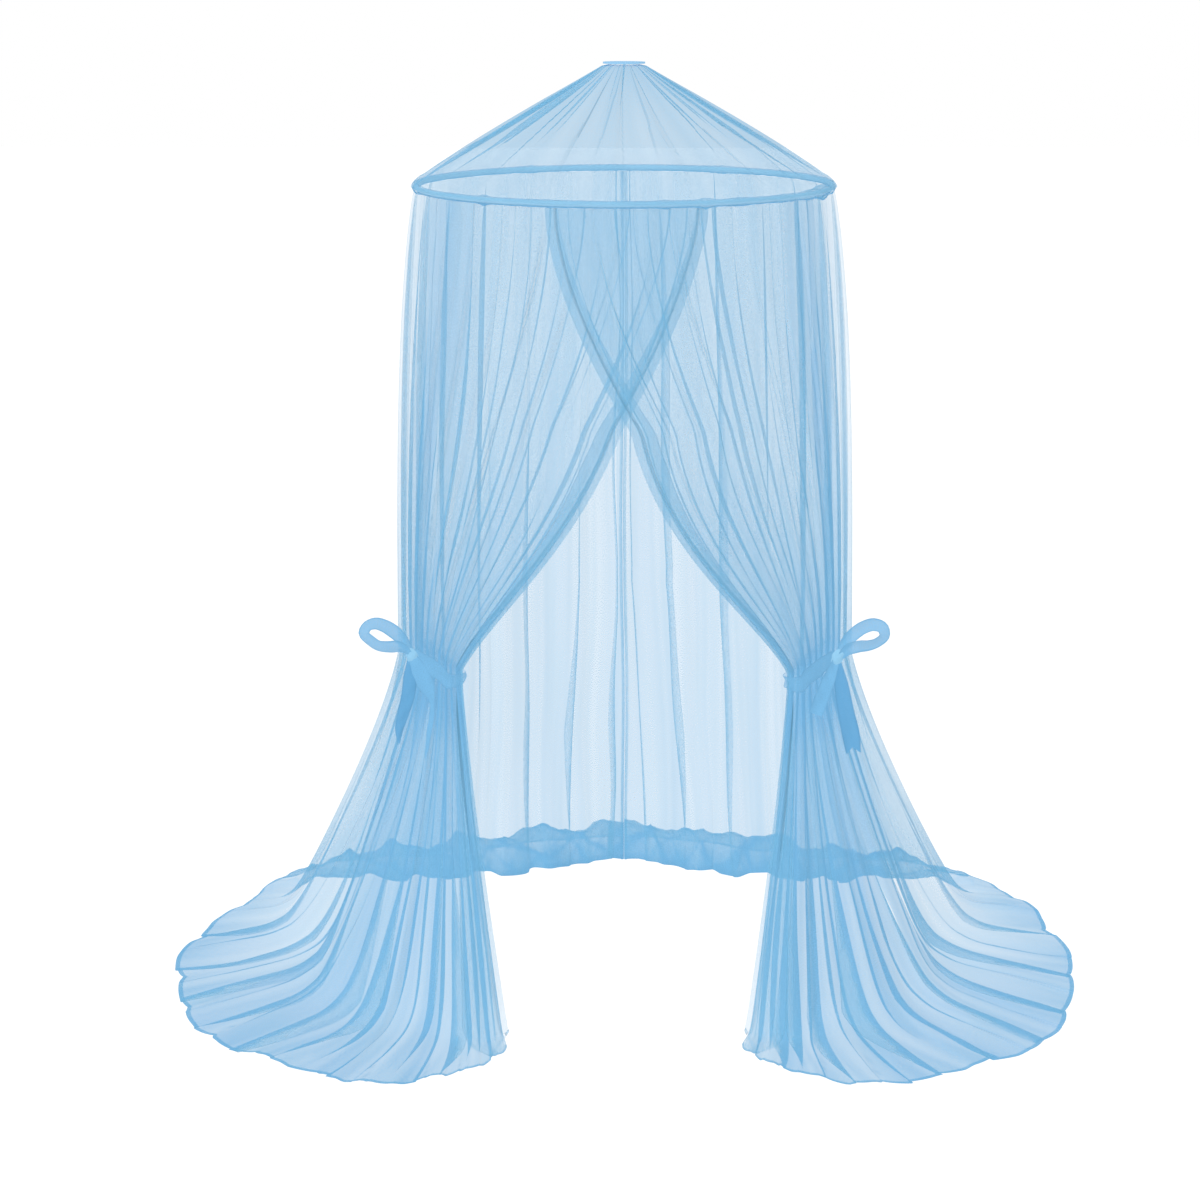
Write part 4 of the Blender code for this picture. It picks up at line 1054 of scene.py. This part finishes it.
def lay_folds(plain, share, shift, rise, folds):
    """The net with its main folds and flat pleats. Also returns the way it faces, and where each
    point lies across it."""
    across = unit(even_out(np.gradient(plain, axis=1), EVEN_COLUMNS))
    out = -unit(np.cross(across, np.gradient(plain, axis=0)))
    held = 1 - hanging(share)
    wave, depth = fold_wave(folds, share)
    half_depth = depth * (held * level_values("gathered") + (1 - held) * level_values("hanging"))
    main = wave * half_depth
    shift = shift - level_values("lean") * main
    points = plain + out * (main + level_values("pleat") * rise)[..., None]
    points = points + across * shift[..., None]
    # on the floor the folds stand up from it
    settled = smooth_step((np.arange(len(plain)) - FIRST_FLOOR_ROW + 2) / 4)[:, None]
    points[..., 2] += half_depth * np.abs(out[..., 2]) * settled
    steps = np.sum(np.diff(plain, axis=1) * (across[:, 1:] + across[:, :-1]) / 2, axis=-1)
    return points, out, shift + running_sum(steps)


def crumpled(share, seed):
    """The length bunched on the floor at the back: its lumps, from about -1 to 1, and its
    creases, which cross each other on a slant."""
    random = np.random.default_rng(seed)
    down = FLOOR_DOWN[:, None]
    lumps, creases = 0 * share, 0 * share
    for pace, slant, size in CRUMPLES:
        wander = 0.9 * np.sin(0.37 * pace * share + 2.5 * down + random.uniform(0, 6))
        wave = np.sin(pace * share + slant * down + wander + random.uniform(0, 6))
        lumps = lumps + size * (1 - 2 * np.abs(wave))
        creases = creases + size * np.exp(-((wave / CREASE_WIDTH) ** 2))
    return lumps / 1.2, creases


def spread_foot(points, plain, share, folds, seed):
    """Scallops the train and crumples the bunched length, and returns how much closer the threads
    of the foot look for it."""
    foot = share[FIRST_FLOOR_ROW:]
    run_out = unit(np.gradient(plain, axis=0))[FIRST_FLOOR_ROW:]
    bulge = SCALLOP * scallops(folds, foot) * smooth_step(FLOOR_DOWN / 0.9)[:, None]
    points[FIRST_FLOOR_ROW:] += run_out * (bulge * (foot < SCALLOPS_END))[..., None]
    piled = hanging(foot) * np.sin(np.pi * FLOOR_DOWN)[:, None] ** 0.7
    lumps, creased = crumpled(foot, seed)
    points[FIRST_FLOOR_ROW:, :, 2] += PILE_LUMP * piled * lumps
    points[FIRST_FLOOR_ROW:, :, 1] -= PILE_LUMP * piled * np.roll(lumps, LUMP_LAG, axis=1)
    return 1 + piled * (PILE_CREASE * creased - PILE_PALE)


def meet_at_back(points, share, side):
    """Keeps each half on its own side of the back seam, lets that seam stray a little, and keeps
    the net above the floor."""
    kept = np.maximum(points[..., 0], SEAM_GAP)
    points[..., 0] = np.where(share > NEAR_SEAM, kept, points[..., 0])
    stray = SEAM_WANDER * np.sin(np.pi * np.clip(ROW_LEVEL / 4, 0, 1)) * np.sin(2.7 * ROW_LEVEL)
    points[..., 0] += side * stray[:, None] * smooth_step(share, NEAR_SEAM, 0.1)
    points[..., 2] = np.maximum(points[..., 2], CLEAR_OF_FLOOR)


def layered(close, share, rise, place):
    """How close the threads look once the pleats lie over each other: what is tucked under a pleat
    looks fainter than it would alone, since the layers lie close together."""
    behind = smooth_step(share, HANGING_BACK, SHARE_FADE)
    covered = np.maximum.accumulate(np.where(share < FRONT_TURN, -1, place), axis=1) - place
    under = smooth_step((covered - by_level(RIM) * (1 - behind)) / level_values("pleat"))
    on_top = 2 * smooth_step(rise, 0.4, 0.25) - 1
    banded = level_values("banded") * on_top * (share < BANDED_END)
    tucked, tucked_back = level_values("tucked"), level_values("tucked_back")
    tucked = tucked + behind * (tucked_back - tucked)
    outer = (share - SPREAD_SHARE) / SPREAD_WIDTH
    low = (ROW_LEVEL[:, None] - SPREAD_LEVEL) / SPREAD_HEIGHT
    tucked = tucked * (1 - SPREAD * np.exp(-(outer**2) - low**2))
    fainter = np.where(share < FRONT_TURN, by_level(HEM_TUCKED), under * tucked)
    return close * (1 + banded) * (1 - fainter)


def from_fold(width, steps):
    """How far from its fold each column of a hem is."""
    return width * np.arange(1, steps + 1) / steps


def turned_in(points, normals, width, steps):
    """A hem along the first column: the cloth turned in behind itself, from its inner edge out."""
    reach = reach_along(points)
    away = from_fold(width, steps)[::-1]
    turned = np.empty((len(points), steps, 3))
    for row in range(len(points)):
        for axis in range(3):
            place = np.interp(away, reach[row], points[row, :, axis])
            normal = np.interp(away, reach[row], normals[row, :, axis])
            turned[row, :, axis] = place - HEM_BEHIND * normal * smooth_step(away / HEM_ROUNDS)
    return turned


def hem_edges(points, normals):
    """The net with its front edge, its back seam and its foot turned in."""
    edge = turned_in(points, normals, EDGE_HEM, HEM_STEPS)
    seam = turned_in(points[:, ::-1], normals[:, ::-1], SEAM_ALLOWANCE, SEAM_STEPS)[:, ::-1]
    points = np.concatenate([edge, points, seam], axis=1)
    normals = np.pad(normals, ((0, 0), (HEM_STEPS, SEAM_STEPS), (0, 0)), mode="edge")
    upwards, facing = (grid[::-1].transpose(1, 0, 2) for grid in (points, normals))
    foot = turned_in(upwards, facing, FOOT_HEM, SEAM_STEPS).transpose(1, 0, 2)[::-1]
    foot[..., 2] = np.maximum(foot[..., 2], HEM_CLEAR_OF_FLOOR)
    return np.concatenate([points, foot])


def net_half(name, lines, folds, pleats, side, step, pull, seed):
    """One half of the net with its folds, pleats and hems."""
    share, shift, rise = net_pleats(pleats, seed)
    plain = plain_net(lines, share, step, pull)
    points, out, place = lay_folds(plain, share, shift, rise, folds)
    foot_closer = spread_foot(points, plain, share, folds, seed)
    meet_at_back(points, share, side)
    normals = -unit(np.cross(np.gradient(points, axis=1), np.gradient(points, axis=0)))
    normals *= np.where(np.sum(normals * out, axis=-1, keepdims=True) < 0, -1, 1)

    from_edge = reach_along(points)
    across = from_edge[:FIRST_FLOOR_ROW].mean(axis=0)
    close = closeness_values(share)
    for number, (depth, lengths) in enumerate(NET_STREAKS, start=1):
        close = close * (1 + depth * streaks(across, len(points), seed + number, lengths))
    close = layered(close, share, rise, place)
    below_ribbon = np.exp(-(((ROW_LEVEL - TIGHT_LEVEL) / TIGHT_HEIGHT) ** 2))[:, None]
    close *= 1 + TIGHT * (1 - hanging(share)) * below_ribbon
    close[FIRST_FLOOR_ROW:] *= foot_closer
    sharp = (1 - LOW_CREASES * smooth_step(ROW_LEVEL - 1.2))[:, None]
    marks = {"crease": creasing(points, False) * sharp, "closeness": close, "from_edge": from_edge}
    for mark, values in marks.items():
        marks[mark] = np.pad(values, ((0, SEAM_STEPS), (HEM_STEPS, SEAM_STEPS)), mode="edge")
    marks["crease"][-SEAM_STEPS:] = FOOT_CREASE

    front_hem, seam = from_fold(EDGE_HEM, HEM_STEPS), from_fold(SEAM_ALLOWANCE, SEAM_STEPS)
    widths = np.concatenate([front_hem[::-1], across, across[-1] - seam])
    length = NET_FLAT[1]
    drop = length * np.linspace(0, 1, len(plain))
    lengths = np.concatenate([drop, length - from_fold(FOOT_HEM, SEAM_STEPS)])
    points = hem_edges(points, normals) * (side, 1, 1) + (0, 0, FLOOR)
    return cloth_piece(name, points, flat_cloth(widths, lengths), NET_MATERIAL, marks)


NET_MATERIAL = net_material("net of the walls", NET_DENSITY)
for name, node, lines, folds, pleats, side, step, pull, seed in (
    (
        "net_half_left", "net_left", LEFT_LINES, LEFT_FOLDS, LEFT_PLEATS,
        -1, LEFT_STEP, LEFT_PULL, 11,
    ),
    (
        "net_half_right", "net_right", RIGHT_LINES, RIGHT_FOLDS, RIGHT_PLEATS,
        1, RIGHT_STEP, RIGHT_PULL, 23,
    ),
):
    half = net_half(name, lines, folds, pleats, side, step, pull, seed)
    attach(half, "root")
    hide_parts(node)

# ---- Ribbons -------------------------------------------------------------------------------
# Each front is drawn in by a ribbon of the same net, doubled. It goes round the free edge, and is
# tied in a bow with one loop and two free ends.

RIBBON_WIDTH = 0.040
RIBBON_ACROSS = 9
RIBBON_DENSITY = 0.88
RIBBON_EDGE = 0.7  # how creased its two edges look: closer, and darker with painted shade
BAND_STEPS = 64
BAND_CLEARANCE = 0.026
BAND_TURN_STEPS = 8
BAND_END = 0.013  # half the band's depth where it turns round the free edge
BAND_SET_BACK = 0.019  # and how far inside that edge's plain place the turn's centre lies
# Where the band runs, as shares of the way from the free edge to the last of the gathered net:
# from the knot to the edge, and back along the inside.
BAND_OUTSIDE = (0.62, 0.40, 0.18)
BAND_INSIDE = (0.20, 0.55, 0.86)
# The band from the knot to its inner end: the share of its length, its width, and how close its
# threads look. It is drawn tight round the edge.
BandPlace = namedtuple("BandPlace", "share width closeness")
BAND_PLACES = [
    BandPlace(0.00, 0.036, 0.92), BandPlace(0.15, 0.052, 0.90), BandPlace(0.35, 0.044, 0.88),
    BandPlace(0.47, 0.031, 0.62), BandPlace(0.55, 0.030, 0.26), BandPlace(1.00, 0.038, 0.30),
]
CLOSENESSES = {"loop": 0.88, "front_end": 0.95, "back_end": 1.00}
BOW_STEPS = 48
BOW_CUP = 0.25  # how hollow the bow's ribbon is, against half its width
NOTCH = 0.016  # depth of the notch cut into one free end
KNOT_STANDS_OUT = 0.010
KNOT_ROWS, KNOT_COLUMNS = 21, 32
KNOT_SIZE = (0.015, 0.012, 0.021)  # half its width, depth and height
KNOT_LEAN = 0.004
KNOT_OPEN = 0.06  # the angle that its two ends are left open by
KNOT_FLAT = (0.08, 0.04)

# The bow of each ribbon, from its knot: how far out, back and up each point of its middle line
# is, the ribbon's width there, and how far its face turns away from the front, in degrees.
Bend = namedtuple("Bend", "out back up width turn")

BOW_LEFT = {
    "loop": [
        Bend(0.003, 0.004, 0.005, 0.014, 20),
        Bend(0.022, 0.006, 0.038, 0.028, 20),
        Bend(0.046, 0.006, 0.063, 0.034, 20),
        Bend(0.068, 0.004, 0.078, 0.032, 20),
        Bend(0.088, 0.001, 0.085, 0.030, 20),
        Bend(0.109, -0.004, 0.079, 0.027, 20),
        Bend(0.117, -0.010, 0.063, 0.030, 20),
        Bend(0.101, -0.014, 0.045, 0.031, 20),
        Bend(0.082, -0.016, 0.033, 0.031, 20),
        Bend(0.060, -0.016, 0.030, 0.034, 20),
        Bend(0.033, -0.012, 0.027, 0.037, 20),
        Bend(0.011, -0.006, 0.012, 0.022, 20),
        Bend(0.002, -0.004, -0.002, 0.012, 20),
    ],
    "front_end": [
        Bend(-0.003, -0.005, -0.004, 0.024, 0),
        Bend(-0.020, -0.026, -0.034, 0.046, 0),
        Bend(-0.042, -0.046, -0.072, 0.040, 10),
        Bend(-0.054, -0.060, -0.104, 0.018, 40),
        Bend(-0.050, -0.074, -0.142, 0.018, 50),
        Bend(-0.042, -0.088, -0.190, 0.016, 50),
        Bend(-0.036, -0.100, -0.234, 0.006, 50),
    ],
    "back_end": [
        Bend(0.004, 0.002, -0.012, 0.018, 0),
        Bend(0.004, -0.023, -0.040, 0.032, 0),
        Bend(0.008, -0.045, -0.085, 0.034, 0),
        Bend(0.020, -0.062, -0.130, 0.028, 0),
        Bend(0.030, -0.076, -0.168, 0.020, 0),
        Bend(0.031, -0.088, -0.200, 0.005, 0),
    ],
}
BOW_RIGHT = {
    "loop": [
        Bend(0.003, 0.004, 0.005, 0.014, 20),
        Bend(0.020, 0.008, 0.034, 0.028, 20),
        Bend(0.043, 0.009, 0.060, 0.032, 20),
        Bend(0.066, 0.007, 0.077, 0.032, 20),
        Bend(0.090, 0.002, 0.085, 0.032, 20),
        Bend(0.112, -0.004, 0.077, 0.030, 20),
        Bend(0.115, -0.010, 0.059, 0.031, 20),
        Bend(0.098, -0.014, 0.044, 0.032, 20),
        Bend(0.074, -0.018, 0.036, 0.036, 20),
        Bend(0.050, -0.018, 0.034, 0.039, 20),
        Bend(0.026, -0.012, 0.025, 0.036, 20),
        Bend(0.004, -0.005, -0.003, 0.012, 20),
    ],
    "front_end": [
        Bend(-0.003, -0.005, -0.006, 0.018, 0),
        Bend(-0.020, -0.032, -0.040, 0.030, 0),
        Bend(-0.040, -0.058, -0.083, 0.036, 0),
        Bend(-0.058, -0.080, -0.122, 0.036, 0),
    ],
    "back_end": [
        Bend(0.002, 0.002, -0.012, 0.016, 0),
        Bend(0.008, -0.029, -0.058, 0.034, 0),
        Bend(0.020, -0.058, -0.124, 0.040, 0),
        Bend(0.032, -0.076, -0.180, 0.044, 0),
        Bend(0.038, -0.092, -0.222, 0.036, 0),
    ],
}


def smooth_path(points, steps):
    """Evenly counted points on a smooth curve through a few."""
    points = np.array(points, dtype=float)
    steps_between = np.linalg.norm(np.diff(points[:, :3], axis=0), axis=1)
    at = np.concatenate([[0], np.cumsum(steps_between)])
    slopes = np.gradient(points, at, axis=0)
    wanted = np.linspace(0, at[-1], steps)
    columns = [smooth_curve(*column, at, wanted) for column in zip(points.T, slopes.T)]
    return np.stack(columns, axis=1)


def ribbon_strip(name, middle, across, widths, closeness, material, cup=0.0, notch=0.0):
    """A length of ribbon along a path, with the direction and size of its width at each point."""
    tangent = unit(np.gradient(middle, axis=0))
    across = unit(across - tangent * np.sum(across * tangent, axis=1, keepdims=True))
    through = np.cross(across, tangent)
    place = np.linspace(-1, 1, RIBBON_ACROSS)[None, :, None]
    half = (widths / 2)[:, None, None]
    length = np.linspace(0, 1, len(middle))[:, None, None]
    ripple = 0.0016 * np.sin(9 * length + 2.2 * place) + 0.0010 * np.sin(23 * length - 3.1 * place)
    points = middle[:, None] + across[:, None] * place * half
    points = points + through[:, None] * (cup * half * (1 - place**2) + ripple)
    if notch:
        near_end = smooth_step((length - 0.8) / 0.2)
        points = points + tangent[:, None] * notch * (np.abs(place) - 1) * near_end
    reach = running_sum(np.linalg.norm(np.diff(middle, axis=0), axis=1)[None])[0]
    cloth = flat_cloth(RIBBON_WIDTH * np.linspace(0, 1, RIBBON_ACROSS), reach)
    blank = np.zeros(points.shape[:2])
    edges = RIBBON_EDGE * (np.abs(place[0, :, 0]) > 0.9)
    marks = {"crease": blank + edges, "closeness": blank + np.reshape(closeness, (-1, 1))}
    return cloth_piece(name, points, cloth, material, marks)


def band_path(lines, side):
    """The path of a ribbon from its knot round the free edge and back along the inside."""
    ends = np.array([0.0, GATHERED])
    x, y, height = (along_lines(lines, column, ends) for column in ("tie_x", "tie_y", "tie_height"))
    edge, far = np.stack([x * side, y, height + FLOOR], axis=1)
    along = far - edge
    level_along = unit(np.array([along[0], along[1], 0.0]))
    outward = np.array([level_along[1], -level_along[0], 0.0]) * side
    up = unit(np.cross(along, outward))
    up = up if up[2] > 0 else -up
    points = [edge + along * share + outward * BAND_CLEARANCE for share in BAND_OUTSIDE]
    for step in range(BAND_TURN_STEPS + 1):
        angle = math.pi * step / BAND_TURN_STEPS
        around = outward * math.cos(angle) * BAND_CLEARANCE
        points.append(edge + around + level_along * (BAND_SET_BACK - math.sin(angle) * BAND_END))
    points += [edge + along * share - outward * BAND_CLEARANCE for share in BAND_INSIDE]
    return points, up, outward


def knot_points(place, side):
    """A small lump of ribbon drawn tight round itself."""
    width, depth, height = KNOT_SIZE
    turn = np.arange(KNOT_COLUMNS) / KNOT_COLUMNS * 2 * np.pi
    top = np.pi / 2 - KNOT_OPEN
    tilt = np.linspace(-top, top, KNOT_ROWS)[:, None]
    wrinkle = 1 + 0.07 * np.sin(5 * turn + 4 * np.sin(2 * tilt))
    wrinkle = wrinkle + 0.05 * np.sin(3 * turn - 6 * tilt)
    x = width * np.cos(tilt) * np.cos(turn) * wrinkle
    y = depth * np.cos(tilt) * np.sin(turn) * wrinkle
    z = height * np.sin(tilt) + 0 * turn
    x = x + side * KNOT_LEAN * z / height
    return np.stack([x, y, z], axis=-1) + place


def ribbon_material(name, deep, pale, density=RIBBON_DENSITY):
    """Net of the ribbon, doubled: closer than the walls. Its copies differ only in colour, darker
    with painted shade or paler with painted light.
    """
    return net_material(name, density, deep=deep, pale=pale)


# The same ribbon net in copies that differ only by painted light: a darker one with painted shade
# and a paler one with painted light
SHADED_RIBBON = ribbon_material("ribbon", (0.105, 0.318, 0.555), (0.125, 0.350, 0.595))
LIT_RIBBON = ribbon_material("ribbon in the light", (0.150, 0.390, 0.640), (0.175, 0.425, 0.675))
# the knot's copy is paler still: a painted highlight
HIGHLIGHTED_KNOT = ribbon_material("ribbon knot with painted highlight", (0.17, 0.43, 0.66), (0.27, 0.54, 0.76), 0.90)


def bow_strip(name, label, rows, knot_place, side):
    """One part of the bow, from the knot along its table of bends."""
    bends = [(row.out * side, row.back, row.up, row.width, row.turn) for row in rows]
    values = smooth_path(bends, BOW_STEPS)
    middle = values[:, :3] + knot_place
    tangent = unit(np.gradient(middle, axis=0))
    flat = np.stack([-tangent[:, 2], 0 * tangent[:, 0], tangent[:, 0]], axis=1) * side
    angle = np.radians(values[:, 4])[:, None]
    across = flat * np.cos(angle) + np.array([0, 1, 0]) * np.sin(angle)
    # the back end is given painted shade, the other parts painted light
    material = SHADED_RIBBON if label == "back_end" else LIT_RIBBON
    notch = NOTCH if (label, name) == ("back_end", "ribbon_right") else 0.0
    return ribbon_strip(
        name + "_" + label, middle, across, values[:, 3], CLOSENESSES[label], material,
        BOW_CUP, notch,
    )


def tie_back(name, node, lines, side, bow):
    """One ribbon with its band, bow loop, free ends and knot. Returns all but the knot."""
    points, up, outward = band_path(lines, side)
    along = np.linspace(0, 1, BAND_STEPS)
    places, widths, closenesses = zip(*BAND_PLACES)
    # the band is given painted light
    band = ribbon_strip(
        name + "_band", smooth_path(points, BAND_STEPS), np.tile(up, (BAND_STEPS, 1)),
        np.interp(along, places, widths), np.interp(along, places, closenesses), LIT_RIBBON,
    )
    knot_place = points[0] + outward * KNOT_STANDS_OUT
    parts = [bow_strip(name, label, rows, knot_place, side) for label, rows in bow.items()]
    blank = np.zeros((KNOT_ROWS, KNOT_COLUMNS))
    # the knot's paler colour is a painted highlight
    knot = cloth_piece(
        name + "_knot",
        knot_points(knot_place, side),
        even_cloth(KNOT_FLAT, KNOT_COLUMNS, KNOT_ROWS),
        HIGHLIGHTED_KNOT,
        {"crease": blank, "closeness": blank + 1},
        closed=True,
    )
    for piece in [band, *parts, knot]:
        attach(piece, "root")
    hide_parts(node)
    return [band, *parts]


for name, node, lines, side, bow in (
    ("ribbon_left", "tie_left", LEFT_LINES, -1, BOW_LEFT),
    ("ribbon_right", "tie_right", RIGHT_LINES, 1, BOW_RIGHT),
):
    for strip in tie_back(name, node, lines, side, bow):
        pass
